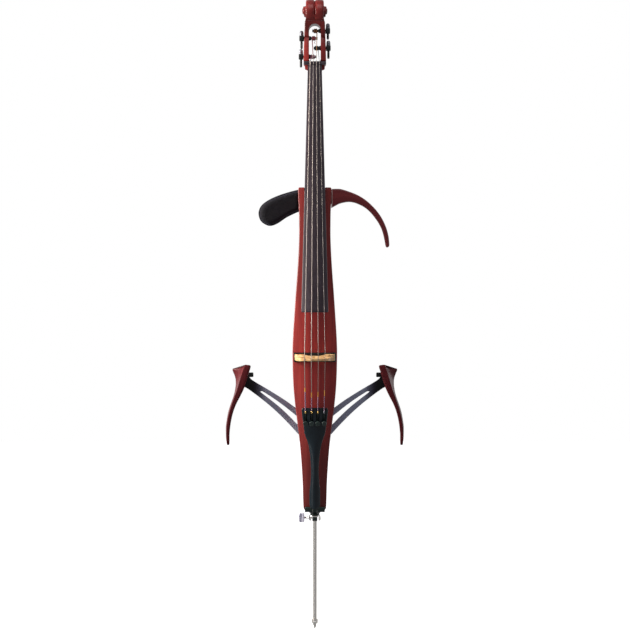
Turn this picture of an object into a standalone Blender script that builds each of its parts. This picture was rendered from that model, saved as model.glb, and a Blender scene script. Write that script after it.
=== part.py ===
"""Slim electric cello with folding knee supports, built as an assembly of separate pieces.

Frame: metres, +Z up, the playing side faces -Y, +X is the treble side.
The origin is the point of the endpin spike.
"""
import math

import bmesh
import bpy
from mathutils import Matrix, Vector

MM = 0.001
GAP = 0.3

# ---------------------------------------------------------------- driving sizes (mm)
BODY_BACK = 28.0
ARCH_SHARE = 0.18
# height, half width, depth of the crown of the front
BODY_STATIONS = (
    (281.0, 19.5, -21.0), (283.5, 24.0, -24.0), (289.0, 26.6, -25.5), (300.0, 27.3, -26.5),
    (340.0, 28.4, -28.0), (381.0, 30.5, -29.0), (409.0, 32.5, -29.5), (438.0, 35.0, -30.0),
    (466.0, 38.2, -30.0), (494.0, 41.7, -30.0), (537.0, 46.9, -30.0), (579.0, 50.5, -30.0),
    (620.0, 52.1, -30.0), (655.0, 52.6, -30.0), (693.0, 51.3, -30.0), (735.0, 48.7, -30.0),
    (792.0, 44.9, -30.0), (848.0, 40.8, -30.0), (891.0, 38.3, -30.0), (935.0, 36.9, -30.0),
    (976.0, 37.2, -30.0), (1036.0, 39.5, -30.0), (1040.5, 38.6, -29.5), (1042.0, 37.0, -28.6),
)

BOARD_TOP_Z = 1330.2
BOARD_END_Z = 748.0
BOARD_HALF_TOP = 16.4
BOARD_HALF_END = 31.5
BOARD_FACE_TOP = -21.5
BOARD_FACE_END = -90.5
BOARD_THICK_TOP = 9.0
BOARD_THICK_END = 13.0
BOARD_RADIUS = 62.0

NUT_FACE = -23.5
NUT_Z = (1330.6, 1338.6)
BRIDGE_BACK = 634.9
BRIDGE_CREST_Z = 637.4
BRIDGE_FOOT = -32.8
PEGBOX_SLOT_HALF = 13.9
SCROLL_Y = -3.0
SCROLL_Z = 1459.0
SCROLL_RADIUS = 26.9
POST_Y = -7.0
WORM_Y = -0.5
POST_RADIUS = 3.0

# per string: name, radius, x at tailpiece, x at bridge, x at nut, bridge crown height
STRINGS = (
    ("c", 0.90, -21.7, -24.0, -10.9, 73.4),
    ("g", 0.75, -7.4, -8.0, -3.65, 78.4),
    ("d", 0.60, 7.0, 8.0, 3.65, 78.4),
    ("a", 0.45, 21.7, 24.0, 10.9, 73.4),
)
# per string: side of the pegbox, post height, x of the free tip, paddle length
TUNERS = {
    "c": (-1, 1350.6, 4.2, 18.0),
    "g": (-1, 1394.0, 6.4, 18.0),
    "d": (1, 1411.5, -6.1, 13.2),
    "a": (1, 1371.0, -2.8, 18.0),
}

TAIL_FOOT = Vector((0.0, -54.0, 288.0))
TAIL_TILT = math.radians(7.33)
TAIL_LENGTH = 239.0
LEVER_PIVOT = 225.0
BALL_ALONG = 230.0
LEVER_DEPTH = 2.2
LEVER_OUT = 0.2
SCREW_ALONG = 204.0

ROD_RADIUS = 5.0
ROD_TOP = 330.0
ROD_BOTTOM = 27.3
BORE_TOP = 575.0
CLAMP_Z = 266.0

ARM_PIVOT = Vector((-24.0, 0.0, 482.0))
BLADE_PIVOT = Vector((-172.0, 0.0, 588.0))
PLATE_FRONT = 28.4
PLATE_BACK = 33.0
CHEST_PIVOT = Vector((-18.0, 0.0, 1011.0))
FRAME_SCREW = Vector((28.0, 0.0, 1017.0))


# ---------------------------------------------------------------- shared helpers
def clear_scene():
    """Removes every object that is already present."""
    for item in list(bpy.data.objects):
        bpy.data.objects.remove(item)


def make_collection(name):
    """Adds a collection under the scene's own one."""
    collection = bpy.data.collections.new(name)
    bpy.context.scene.collection.children.link(collection)
    return collection


def make_material(name, colour, roughness, metallic=0.0):
    """One plain material with colour, roughness and metallic set."""
    material = bpy.data.materials.new(name)
    material.use_nodes = True
    shader = material.node_tree.nodes["Principled BSDF"]
    shader.inputs["Base Color"].default_value = (*colour, 1.0)
    shader.inputs["Roughness"].default_value = roughness
    shader.inputs["Metallic"].default_value = metallic
    material.diffuse_color = (*colour, 1.0)
    return material


clear_scene()
CELLO = make_collection("electric_cello")
CUTTERS = make_collection("cutters")

RED_WOOD = ((0.28, 0.025, 0.012), 0.25, 0.0)
DARK_WOOD = ((0.12, 0.012, 0.012), 0.28, 0.0)
EBONY = ((0.018, 0.014, 0.018), 0.35, 0.0)
MAPLE = ((0.75, 0.45, 0.14), 0.45, 0.0)
BLACK_PLASTIC = ((0.012, 0.014, 0.014), 0.4, 0.0)
CHROME = ((0.75, 0.76, 0.78), 0.12, 1.0)
DARK_STEEL = ((0.08, 0.08, 0.09), 0.35, 1.0)
STRING_STEEL = ((0.55, 0.50, 0.50), 0.3, 1.0)
PALE_PLASTIC = ((0.70, 0.70, 0.82), 0.4, 0.0)
FABRIC = ((0.015, 0.015, 0.017), 0.9, 0.0)
BOARD_GREEN = ((0.02, 0.16, 0.07), 0.5, 0.0)


def add_object(name, mesh, look, cutter=False):
    """Links a mesh, sized in mm, as a named object in metres with its own material."""
    mesh.transform(Matrix.Scale(MM, 4))
    item = bpy.data.objects.new(name, mesh)
    if cutter:
        CUTTERS.objects.link(item)
        item.hide_render = True
        item.display_type = "WIRE"
    else:
        CELLO.objects.link(item)
        mesh.materials.append(make_material(name, *look))
    return item


def finish_mesh(work, name, recalculate=True):
    """Turns a bmesh into a mesh with smooth faces and sharp corners."""
    if recalculate:
        bmesh.ops.recalc_face_normals(work, faces=work.faces)
    mesh = bpy.data.meshes.new(name)
    work.to_mesh(mesh)
    work.free()
    mesh.shade_smooth()
    mesh.set_sharp_from_angle(angle=math.radians(32.0))
    return mesh


def box_mesh(name, low, high):
    """A box between two corners."""
    work = bmesh.new()
    bmesh.ops.create_cube(work, size=1.0)
    low, high = Vector(low), Vector(high)
    for vertex in work.verts:
        vertex.co = (low + high) / 2 + Vector(
            vertex.co[axis] * (high - low)[axis] for axis in range(3))
    return finish_mesh(work, name)


def rod_mesh(name, start, end, radius, sides=24, end_radius=None):
    """A round bar or cone between two points."""
    start, end = Vector(start), Vector(end)
    work = bmesh.new()
    bmesh.ops.create_cone(work, cap_ends=True, segments=sides, radius1=radius,
                          radius2=radius if end_radius is None else end_radius,
                          depth=(end - start).length)
    turn = (end - start).to_track_quat("Z", "Y").to_matrix().to_4x4()
    bmesh.ops.transform(work, matrix=Matrix.Translation((start + end) / 2) @ turn,
                        verts=work.verts)
    return finish_mesh(work, name)


def box(name, low, high, look, bevel=0.0):
    """A box-shaped piece with softened edges."""
    item = add_object(name, box_mesh(name, low, high), look)
    if bevel:
        add_bevel(item, bevel)
    return item


def rod(name, start, end, radius, look, sides=24, bevel=0.0):
    """A round bar as a piece."""
    item = add_object(name, rod_mesh(name, start, end, radius, sides), look)
    if bevel:
        add_bevel(item, bevel)
    return item


def add_bevel(item, width, segments=2, angle=40.0):
    """Rounds the sharp edges of a piece."""
    bevel = item.modifiers.new("round_edges", "BEVEL")
    bevel.width = width * MM
    bevel.segments = segments
    bevel.limit_method = "ANGLE"
    bevel.angle_limit = math.radians(angle)


def combine(item, other, operation="DIFFERENCE"):
    """Cuts or joins one piece with a hidden one."""
    change = item.modifiers.new(other.name, "BOOLEAN")
    change.operation = operation
    change.solver = "EXACT"
    change.object = other


def cut_box(item, name, low, high):
    """Cuts a box-shaped pocket."""
    combine(item, add_object("cut_" + name, box_mesh(name, low, high), None, True))


def cut_rod(item, name, start, end, radius, sides=24):
    """Drills a round hole."""
    combine(item, add_object("cut_" + name, rod_mesh(name, start, end, radius, sides), None, True))


def join_rod(item, name, start, end, radius, sides=24):
    """Adds a round boss."""
    combine(item, add_object("add_" + name, rod_mesh(name, start, end, radius, sides), None, True),
            "UNION")


def join_box(item, name, low, high):
    """Adds a box-shaped boss."""
    combine(item, add_object("add_" + name, box_mesh(name, low, high), None, True), "UNION")


def half_loft(name, rings, look):
    """Skin over open half sections (front to back at +X), mirrored across X = 0."""
    work = bmesh.new()
    rows = [[work.verts.new(point) for point in ring] for ring in rings]
    for lower, upper in zip(rows, rows[1:]):
        for i in range(len(lower) - 1):
            work.faces.new((lower[i], lower[i + 1], upper[i + 1], upper[i]))
    work.faces.new(reversed(rows[0]))
    work.faces.new(rows[-1])
    item = add_object(name, finish_mesh(work, name, recalculate=False), look)
    mirror = item.modifiers.new("mirror", "MIRROR")
    mirror.merge_threshold = 0.00001
    return item


def full_loft_mesh(name, rings):
    """Closed skin over full sections with the same number of points."""
    work = bmesh.new()
    rows = [[work.verts.new(point) for point in ring] for ring in rings]
    for lower, upper in zip(rows, rows[1:]):
        for i in range(len(lower)):
            j = (i + 1) % len(lower)
            work.faces.new((lower[i], lower[j], upper[j], upper[i]))
    work.faces.new(reversed(rows[0]))
    work.faces.new(rows[-1])
    return finish_mesh(work, name)


def section_ring(centre, across, deep, half_across, half_deep, chamfer):
    """Eight points of a rectangle with cut corners, in the plane of two directions."""
    a, b, c = half_across, half_deep, min(chamfer, half_across * 0.8, half_deep * 0.8)
    corners = ((a, b - c), (a - c, b), (c - a, b), (-a, b - c),
               (-a, c - b), (c - a, -b), (a - c, -b), (a, c - b))
    return [centre + across * u + deep * v for u, v in corners]


def plate_mesh(name, outline, low, high, holes=()):
    """A flat piece with its outline in X and Z, between two depths in Y."""
    curve = bpy.data.curves.new(name, "CURVE")
    curve.dimensions = "2D"
    curve.fill_mode = "BOTH"
    curve.extrude = (high - low) / 2
    for loop in (outline, *holes):
        spline = curve.splines.new("POLY")
        spline.points.add(len(loop) - 1)
        for point, (x, z) in zip(spline.points, loop):
            point.co = (x, z, 0.0, 1.0)
        spline.use_cyclic_u = True
    mesh = mesh_of_curve(name, curve)
    mesh.transform(Matrix.Translation((0, (low + high) / 2, 0)) @ Matrix.Rotation(math.pi / 2, 4, "X"))
    return mesh


def mesh_of_curve(name, curve):
    """Turns a curve into a welded, closed mesh."""
    holder = bpy.data.objects.new(name + "_curve", curve)
    bpy.context.scene.collection.objects.link(holder)
    bpy.context.view_layer.update()
    evaluated = holder.evaluated_get(bpy.context.evaluated_depsgraph_get())
    raw = bpy.data.meshes.new_from_object(evaluated)
    bpy.data.objects.remove(holder)
    work = bmesh.new()
    work.from_mesh(raw)
    bmesh.ops.remove_doubles(work, verts=work.verts, dist=0.0005)
    bpy.data.meshes.remove(raw)
    return finish_mesh(work, name)


def circle_points(x, z, radius, count):
    """Points around a circle in X and Z."""
    return [(x + radius * math.cos(math.tau * i / count), z + radius * math.sin(math.tau * i / count))
            for i in range(count)]


def tube_mesh(name, path, radii, resolution=1):
    """A bar of varying radius along a list of points."""
    curve = bpy.data.curves.new(name, "CURVE")
    curve.dimensions = "3D"
    curve.bevel_depth = 1.0
    curve.bevel_resolution = resolution
    curve.use_fill_caps = True
    spline = curve.splines.new("POLY")
    spline.points.add(len(path) - 1)
    for point, place, radius in zip(spline.points, path, radii):
        point.co = (*place, 1.0)
        point.radius = radius
    return mesh_of_curve(name, curve)


def turned(name, profile, look, origin, axis=(0, 0, 1), steps=18, cutter=False, closed=False):
    """A lathe-turned piece: (radius, along) points from top to bottom of its outer side."""
    work = bmesh.new()
    verts = [work.verts.new((radius, 0.0, along)) for radius, along in profile]
    for first, second in zip(verts, verts[1:]):
        work.edges.new((first, second))
    if closed:
        work.edges.new((verts[-1], verts[0]))
    mesh = bpy.data.meshes.new(name)
    work.to_mesh(mesh)
    work.free()
    item = add_object(name, mesh, look, cutter)
    screw = item.modifiers.new("turn", "SCREW")
    screw.axis = "Z"
    screw.steps = steps
    screw.render_steps = steps
    screw.use_merge_vertices = True
    screw.merge_threshold = 0.00001
    screw.use_smooth_shade = True
    turn = Vector(axis).to_track_quat("Z", "Y").to_matrix().to_4x4()
    item.matrix_world = Matrix.Translation(Vector(origin) * MM) @ turn
    return item


def move_origin(item, point):
    """Puts a piece's origin on its joint without moving the piece."""
    point = Vector(point) * MM
    item.data.transform(Matrix.Translation(-point))
    item.location = point


def mirrored(points):
    """The same X and Z outline on the other side."""
    return [(-x, z) for x, z in points]


# ---------------------------------------------------------------- body
def board_share(z):
    """0 at the nut end of the fingerboard, 1 at its free end."""
    return (BOARD_TOP_Z - z) / (BOARD_TOP_Z - BOARD_END_Z)


def board_half(z):
    """Half width of the fingerboard."""
    return BOARD_HALF_TOP + board_share(z) * (BOARD_HALF_END - BOARD_HALF_TOP)


def board_face(z):
    """Depth of the crown of the fingerboard."""
    return BOARD_FACE_TOP + board_share(z) * (BOARD_FACE_END - BOARD_FACE_TOP)


def board_seat(z):
    """Depth of the flat joint between neck and fingerboard."""
    return board_face(z) + BOARD_THICK_TOP + board_share(z) * (BOARD_THICK_END - BOARD_THICK_TOP)


def body_ring(z, half, front):
    """Half section of the body: arched front, crease near the edge, flat back."""
    rise = ARCH_SHARE * half
    return [Vector(point) for point in (
        (0, front, z), (0.35 * half, front + 0.10 * rise, z), (0.68 * half, front + 0.42 * rise, z),
        (half - 3.0, front + 0.88 * rise, z), (half - 0.6, front + 1.1 * rise, z),
        (half, front + 1.1 * rise + 2.5, z), (half - 0.6, BODY_BACK - 5.0, z),
        (half - 2.2, BODY_BACK - 1.4, z), (half - 5.6, BODY_BACK, z), (0, BODY_BACK, z))]


def body_shell():
    """The wooden body with every seat and bore that it needs."""
    item = half_loft("body_shell", [body_ring(*station) for station in BODY_STATIONS], RED_WOOD)
    cut_box(item, "neck_mortise", (-25.0, -60, 1000), (25.0, -3.7, 1050))
    cut_box(item, "bed_seat", (-49.9, -60, 631.7), (49.9, -14, 653.8))
    cut_box(item, "saddle_seat", (-23.8, -45, 270), (23.8, -17, 291.3))
    cut_rod(item, "plug_bore", (0, 0, 270), (0, 0, 331), 9.3)
    cut_rod(item, "rod_bore", (0, 0, 320), (0, 0, BORE_TOP), 6.5)
    cut_box(item, "cover_seat", (-40, 24, 592), (40, 40, 728))
    cut_box(item, "circuit_pocket", (-34, 2, 600), (34, 30, 720))
    cut_box(item, "door_seat", (-24, 25, 740), (24, 40, 810))
    cut_box(item, "battery_pocket", (-15, 5, 748), (15, 30, 802))
    cut_box(item, "wire_way", (-6, -20, 640), (6, 4, 646))
    cut_box(item, "battery_wire_way", (-5, 12, 710), (5, 20, 755))
    cut_box(item, "frame_socket", (16, 2, 1004), (60, 18, 1030))
    cut_rod(item, "frame_screw_hole", (FRAME_SCREW.x, 10, FRAME_SCREW.z),
            (FRAME_SCREW.x, 40, FRAME_SCREW.z), 3.3)
    for side, label in ((-1, "left"), (1, "right")):
        cut_rod(item, "arm_hole_" + label, (side * 24.0, 9, ARM_PIVOT.z),
                (side * 24.0, 40, ARM_PIVOT.z), 3.3)
    cut_rod(item, "chest_hole", (CHEST_PIVOT.x, 9, CHEST_PIVOT.z),
            (CHEST_PIVOT.x, 40, CHEST_PIVOT.z), 3.3)


def back_cover():
    """Flush plate over the circuit pocket, bored for the knob and the jacks."""
    item = box("back_cover", (-39.7, 24.3, 592.3), (39.7, BODY_BACK, 727.7), BLACK_PLASTIC, 1.0)
    cut_rod(item, "knob_hole", (0, 20, 700), (0, 32, 700), 3.4)
    cut_rod(item, "output_hole", (-17, 20, 622), (-17, 32, 622), 6.0)
    cut_rod(item, "phones_hole", (17, 20, 622), (17, 32, 622), 4.3)


def circuit_board():
    """Preamplifier board lying in the body pocket."""
    box("circuit_board", (-30, 5, 604), (30, 6.6, 716), BOARD_GREEN, 0.3)


def volume_knob():
    """Knob with its shaft through the back cover."""
    profile = ((0, 14), (6.6, 14), (7.8, 12.8), (8.2, 2.6), (7.6, 2), (3.0, 2), (3.0, -14), (0, -14))
    turned("volume_knob", profile, BLACK_PLASTIC, (0, BODY_BACK, 700), (0, 1, 0))


def jack(name, x, barrel, bore):
    """Socket with a flange outside the cover and a barrel inside it."""
    profile = ((bore, 2.6), (barrel + 2.0, 2.6), (barrel + 2.0, 0.3), (barrel, 0.3),
               (barrel, -18), (bore, -18))
    turned(name, profile, CHROME, (x, BODY_BACK, 622), (0, 1, 0), closed=True)


def battery_pieces():
    """Battery and the hinged door that covers it."""
    box("battery", (-13.2, 6.5, 750), (13.2, 24, 798), BLACK_PLASTIC, 1.0)
    door = add_object("battery_door", box_mesh("battery_door", (-23.7, 25.3, 740.3),
                                               (23.7, BODY_BACK, 809.7)), BLACK_PLASTIC)
    move_origin(door, (0, BODY_BACK, 740.3))


# ---------------------------------------------------------------- neck, fingerboard, nut
def neck_ring(z, back):
    """Half section of the neck: flat front, rounded back."""
    half = min(board_half(z) - 0.4, 24.6)
    front = board_seat(z)
    deep = back - front
    return [Vector(point) for point in (
        (0, front, z), (half, front, z), (half, front + 2.0, z), (0.93 * half, front + 0.5 * deep, z),
        (0.60 * half, front + 0.88 * deep, z), (0, back, z))]


def pegbox_ring(z, half, front, back):
    """Half section of pegbox and scroll: a block with eased corners."""
    ease = min(2.0, (back - front) * 0.2)
    return [Vector(point) for point in (
        (0, front, z), (half - ease, front, z), (half, front + ease, z), (half, back - 2 * ease, z),
        (half - 2 * ease, back, z), (0, back, z))]


def scroll_ring(z, half):
    """Section of the round scroll block at one height."""
    reach = math.sqrt(max(SCROLL_RADIUS ** 2 - (z - SCROLL_Z) ** 2, 1.0))
    return pegbox_ring(z, half, SCROLL_Y - reach, SCROLL_Y + reach)


def neck_and_scroll():
    """Neck, pegbox and scroll in one length of wood."""
    rings = [neck_ring(*station) for station in (
        (1000.3, -4.0), (1042.0, -4.0), (1055.0, -6.5), (1072.0, -13.0), (1100.0, -18.0),
        (1180.0, -10.5), (1260.0, -2.5), (1312.0, 4.0), (1319.0, 6.5))]
    rings += [pegbox_ring(*station) for station in (
        (1320.5, 22.8, -13.2, 10.0), (1323.0, 23.5, -13.0, 14.0), (1330.2, 23.5, -12.2, 22.0),
        (1330.7, 26.5, -12.2, 23.0), (1339.2, 26.6, -12.2, 27.0), (1342.0, 26.6, -17.0, 28.0),
        (1365.0, 26.0, -17.4, 30.0), (1384.0, 25.4, -16.0, 30.0), (1398.2, 24.9, -12.9, 30.0),
        (1399.4, 24.9, -18.8, 30.0), (1415.0, 24.4, -21.8, 28.5),
        (1428.0, 24.0, -25.0, 24.0), (1434.0, 22.4, -19.8, 19.0))]
    rings += [scroll_ring(z, half) for z, half in (
        (1440.0, 21.6), (1449.0, 21.6), (1459.0, 21.4), (1469.0, 21.0), (1477.0, 20.3),
        (1482.5, 18.8), (1485.5, 16.0))]
    item = half_loft("neck_and_scroll", rings, DARK_WOOD)
    left, right = (-30, SCROLL_Y, SCROLL_Z), (30, SCROLL_Y, SCROLL_Z)
    eyes = add_object("add_scroll_eyes", rod_mesh("eyes", left, right, 13.0, 28), None, True)
    add_bevel(eyes, 2.5)
    combine(item, eyes, "UNION")
    cut_box(item, "peg_slot", (-PEGBOX_SLOT_HALF, -60, 1339.6), (PEGBOX_SLOT_HALF, 60, 1413))
    cut_rod(item, "peg_slot_arch", (0, -60, 1412.7), (0, 60, 1412.7), PEGBOX_SLOT_HALF + 0.02, 32)
    for label, (side, height, _, _) in TUNERS.items():
        cut_rod(item, "post_hole_" + label, (side * 10, POST_Y, height), (side * 40, POST_Y, height), 3.4)


def fingerboard():
    """Arched ebony board, glued to the neck and free over the body."""
    rings = []
    for z in (BOARD_END_Z, 750.5, 850, 950, 1050, 1150, 1250, BOARD_TOP_Z):
        half = board_half(z) - (1.2 if z == BOARD_END_Z else 0.0)
        top = board_face(z)
        seat = board_seat(z) - GAP
        crest = [(share * half, top + (share * half) ** 2 / (2 * BOARD_RADIUS)) for share in
                 (0, 0.35, 0.7, 0.96)]
        edge = crest[-1][1]
        crest += [(half, edge + 1.2), (half, seat - 0.8), (half - 0.8, seat), (0, seat)]
        rings.append([Vector((x, y, z)) for x, y in crest])
    half_loft("fingerboard", rings, EBONY)


def nut():
    """Ebony nut across the top of the fingerboard."""
    box("nut", (-26.4, NUT_FACE, NUT_Z[0]), (26.4, -12.5, NUT_Z[1]), EBONY, 1.0)


# ---------------------------------------------------------------- bridge and its pickup
def bridge_pieces():
    """Pickup bed let into the front, pickup strip and the maple bridge on it."""
    box("bridge_bed", (-49.6, -31.0, 632), (49.6, -14.3, 653.5), BLACK_PLASTIC, 0.8)
    box("bridge_pickup", (-47.5, -32.5, 634.5), (47.5, -31.3, 650.6), BLACK_PLASTIC, 0.2)
    right = [(0, 17), (9, 16), (17, 12), (22, 6), (23.5, 0), (47, 0), (47, 5), (40, 8.5), (33.5, 13),
             (29.5, 20), (29.5, 27), (34, 31), (41.5, 33.5), (43, 39), (38, 46), (35, 56), (32, 70),
             (24, 73.4), (16, 76.4), (8, 78.4), (0, 79)]
    outline = right + [(-x, y) for x, y in reversed(right[1:-1])]
    holes = [circle_points(0, 40, 7.5, 14), circle_points(24, 44, 5.5, 12),
             circle_points(-24, 44, 5.5, 12), circle_points(0, 56, 3.2, 10)]
    mesh = plate_mesh("bridge", outline, 0.0, 1.0, holes)
    for vertex in mesh.vertices:
        height = vertex.co.z
        thick = 15.3 - 3.7 * min(height / 17.0, 1.0) - 6.6 * max(0.0, (height - 17.0) / 62.0)
        vertex.co = Vector((vertex.co.x, BRIDGE_FOOT - height, BRIDGE_BACK + vertex.co.y * thick))
    mesh.set_sharp_from_angle(angle=math.radians(32.0))
    add_object("bridge", mesh, MAPLE)


# ---------------------------------------------------------------- tuning machines
def cheek(z):
    """Outer face of the pegbox cheek."""
    return 24.0 + (1428.0 - z) / 86.0 * 2.6


def tuner(label):
    """Housing outside the cheek, cross post in the pegbox, worm key with a paddle."""
    side, height, tip, paddle = TUNERS[label]
    inner = cheek(height - 6.0) + GAP
    axis_x = inner + 5.8
    low = (min(side * inner, side * (inner + 11.2)), -13.2, height - 6.0)
    high = (max(side * inner, side * (inner + 11.2)), 4.2, height + 6.0)
    housing = box("tuner_housing_" + label, low, high, BLACK_PLASTIC, 1.2)
    dome = turned("add_dome_" + label, ((0, 12.5), (2.4, 12.0), (4.2, 9.6), (4.7, 6), (4.7, -1), (0, -1)),
                  None, (side * axis_x, WORM_Y, height + 6.0), steps=18, cutter=True)
    combine(housing, dome, "UNION")
    cut_rod(housing, "gear_pocket_" + label, (side * (inner - 5), POST_Y, height),
            (side * (inner + 8.8), POST_Y, height), 4.4, 20)
    cut_rod(housing, "worm_bore_" + label, (side * axis_x, WORM_Y, height - 10),
            (side * axis_x, WORM_Y, height + 5.2), 2.5, 16)
    reach = abs(side * (inner + 8.4) - tip)
    gear = 6.0
    profile = ((0, reach), (4.0, reach), (4.0, reach - gear), (POST_RADIUS, reach - gear - 0.5),
               (POST_RADIUS, 1.2), (3.6, 0.9), (3.6, 0.0), (0, 0))
    turned("tuner_post_" + label, profile, DARK_STEEL, (tip, POST_Y, height), (side, 0, 0), steps=18)
    key = turned("tuner_key_" + label, ((0, 4.8), (2.2, 4.8), (2.2, -9.5), (0, -9.5)), BLACK_PLASTIC,
                 (side * axis_x, WORM_Y, height), steps=16)
    middle = height - 6.6 - paddle / 2
    outline = [(WORM_Y + 4.8 * math.cos(a), middle + paddle / 2 * math.sin(a)) for a in
               [math.tau * i / 16 for i in range(16)]]
    mesh = plate_mesh("paddle_" + label, outline, -2.2, 2.2)
    mesh.transform(Matrix.Rotation(math.pi / 2, 4, "Z"))
    mesh.transform(Matrix.Translation((side * axis_x, 0, 0)))
    combine(key, add_object("add_paddle_" + label, mesh, None, True), "UNION")


# ---------------------------------------------------------------- strings
def string(label, radius, x_tail, x_bridge, x_nut, crown):
    """One string from its ball end over bridge and nut to the winding on its post."""
    side, height, _, _ = TUNERS[label]
    ball = tail_point(x_tail, BALL_ALONG, LEVER_OUT + 1.3 + 2.4)
    path = [ball + tail_direction() * along for along in (-2.3, -1.6, 0.0, 1.6, 2.3, 4.5)]
    radii = [0.9, 1.9, 2.4, 1.9, 1.4, 1.25]
    top = Vector((x_bridge, BRIDGE_FOOT - crown - GAP - radius, BRIDGE_CREST_Z))
    for share in (0.15, 0.45):
        path.append(path[5].lerp(top, share))
        radii.append(1.2)
    path.append(path[5].lerp(top, 0.47))
    radii.append(radius)
    path += [top + Vector((0, 0, -2.0)), top, top + Vector((0, 0, 2.0))]
    radii += [radius] * 3
    over_nut = Vector((x_nut, NUT_FACE - GAP - radius, (NUT_Z[0] + NUT_Z[1]) / 2))
    path += [over_nut + Vector((0, 0, -3.6)), over_nut + Vector((0, 0, 3.6))]
    radii += [radius] * 2
    coil = POST_RADIUS + GAP + radius + 0.1
    turns = 2
    steps = 10
    step_x = (2 * radius + 0.35) * (1 if side < 0 else -1)
    start_x = x_nut if abs(x_nut) < 9 else x_nut * 0.78
    for i in range(turns * steps + 1):
        angle = math.pi + math.tau * i / steps - 0.5
        path.append(Vector((start_x + step_x * i / steps, POST_Y + coil * math.cos(angle),
                            height - coil * math.sin(angle))))
        radii.append(radius)
    add_object("string_" + label, tube_mesh("string_" + label, path, radii), STRING_STEEL)


# ---------------------------------------------------------------- tailpiece


def tail_matrix():
    """Frame of the tailpiece: its own Z runs up its length, -Y faces out."""
    return Matrix.Translation(TAIL_FOOT) @ Matrix.Rotation(TAIL_TILT, 4, "X")


def tail_point(x, along, out):
    """A point given along the tailpiece and out from its face."""
    return tail_matrix() @ Vector((x, -out, along))


def tail_direction():
    """Unit direction up the tailpiece."""
    return (tail_matrix().to_3x3() @ Vector((0, 0, 1))).normalized()


def tail_out():
    """Unit direction out of the tailpiece's face."""
    return (tail_matrix().to_3x3() @ Vector((0, -1, 0))).normalized()


def tailpiece():
    """Waisted tailpiece with four lever slots and a shared pivot bore."""
    rings = []
    for along, half, thick in ((0, 5.0, 6.0), (2.5, 9.5, 7.0), (9.0, 12.6, 7.5), (38.0, 12.6, 7.5),
                               (62.0, 10.4, 7.5), (86.0, 9.0, 8.0), (115.0, 10.2, 8.5),
                               (143.0, 13.5, 9.0), (160.0, 17.5, 10.0), (177.0, 23.5, 11.0),
                               (198.0, 26.8, 11.5), (222.0, 29.8, 11.5), (235.0, 31.0, 11.0),
                               (TAIL_LENGTH, 28.5, 9.0)):
        drop = 0.12 * half
        rings.append([Vector(point) for point in (
            (0, 0, along), (0.5 * half, 0.25 * drop, along), (half - 1.5, drop, along),
            (half, drop + 1.5, along), (half - 0.5, drop + 3.2, along),
            (0.5 * half, thick - 0.8, along), (0, thick, along))])
    item = half_loft("tailpiece", rings, BLACK_PLASTIC)
    item.data.transform(Matrix.Scale(1 / MM, 4))
    item.data.transform(tail_matrix())
    item.data.transform(Matrix.Scale(MM, 4))
    for label, _, x, _, _, _ in STRINGS:
        tail_cut_box(item, "lever_slot_" + label, (x - 3.6, -5.0, 207.5), (x + 3.6, 7.4, 250.0))
        cut_rod(item, "screw_hole_" + label, tail_point(x, SCREW_ALONG, 5.0),
                tail_point(x, SCREW_ALONG, -7.6), 1.9, 16)
    cut_rod(item, "lever_bore", tail_point(-26.6, LEVER_PIVOT, -LEVER_DEPTH - 2.4),
            tail_point(26.6, LEVER_PIVOT, -LEVER_DEPTH - 2.4), 1.4, 12)


def tail_cut_box(item, name, low, high):
    """Cuts a pocket that lies square to the tailpiece."""
    mesh = box_mesh(name, low, high)
    mesh.transform(tail_matrix())
    combine(item, add_object("cut_" + name, mesh, None, True))


def fine_tuner(label, x):
    """Lever in its slot and the knurled screw that presses its lower end."""
    mesh = box_mesh("fine_lever_" + label, (x - 3.1, LEVER_DEPTH, 208.1), (x + 3.1, 5.4, 235.0))
    mesh.transform(tail_matrix())
    lever = add_object("fine_lever_" + label, mesh, BLACK_PLASTIC)
    pivot = tail_point(x, LEVER_PIVOT, -LEVER_DEPTH - 2.4)
    move_origin(lever, pivot)
    reach = Vector((4.6, 0, 0))
    join_rod(lever, "lever_pin_" + label, pivot - reach, pivot + reach, 1.05, 12)
    hook = box_mesh("hook_" + label, (x - 2.2, -LEVER_OUT, 226.5), (x + 2.2, 3.4, 233.5))
    hook.transform(tail_matrix())
    combine(lever, add_object("add_hook_" + label, hook, None, True), "UNION")
    base = tail_point(x, SCREW_ALONG, 0.0)
    profile = ((0, 12.5), (4.6, 12.5), (6.0, 11.4), (6.0, 5.4), (4.8, 4.2), (1.6, 4.2), (1.6, -6.8),
               (0, -6.8))
    screw = turned("fine_screw_" + label, profile, BLACK_PLASTIC, base, tail_out(), steps=18)
    return screw


def tail_cord():
    """Loop from the tailpiece, over the saddle and round the endpin plug."""
    right = [(5.0, -50.5, 286.4), (5.2, -42.0, 281.5), (6.0, -36.5, 277.4), (8.5, -20.0, 276.6)]
    ring = 11.6
    for angle in (-40, -10, 20, 55, 90):
        right.append((ring * math.cos(math.radians(angle)), ring * math.sin(math.radians(angle)), 276.5))
    path = right + [(-x, y, z) for x, y, z in reversed(right[:-1])]
    add_object("tail_cord", tube_mesh("tail_cord", path, [1.5] * len(path)), BLACK_PLASTIC)


def saddle():
    """Ebony block that keeps the tail cord off the edge of the body."""
    box("saddle", (-23.5, -36.5, 279.6), (23.5, -17.3, 291.0), EBONY, 1.2)


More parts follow.
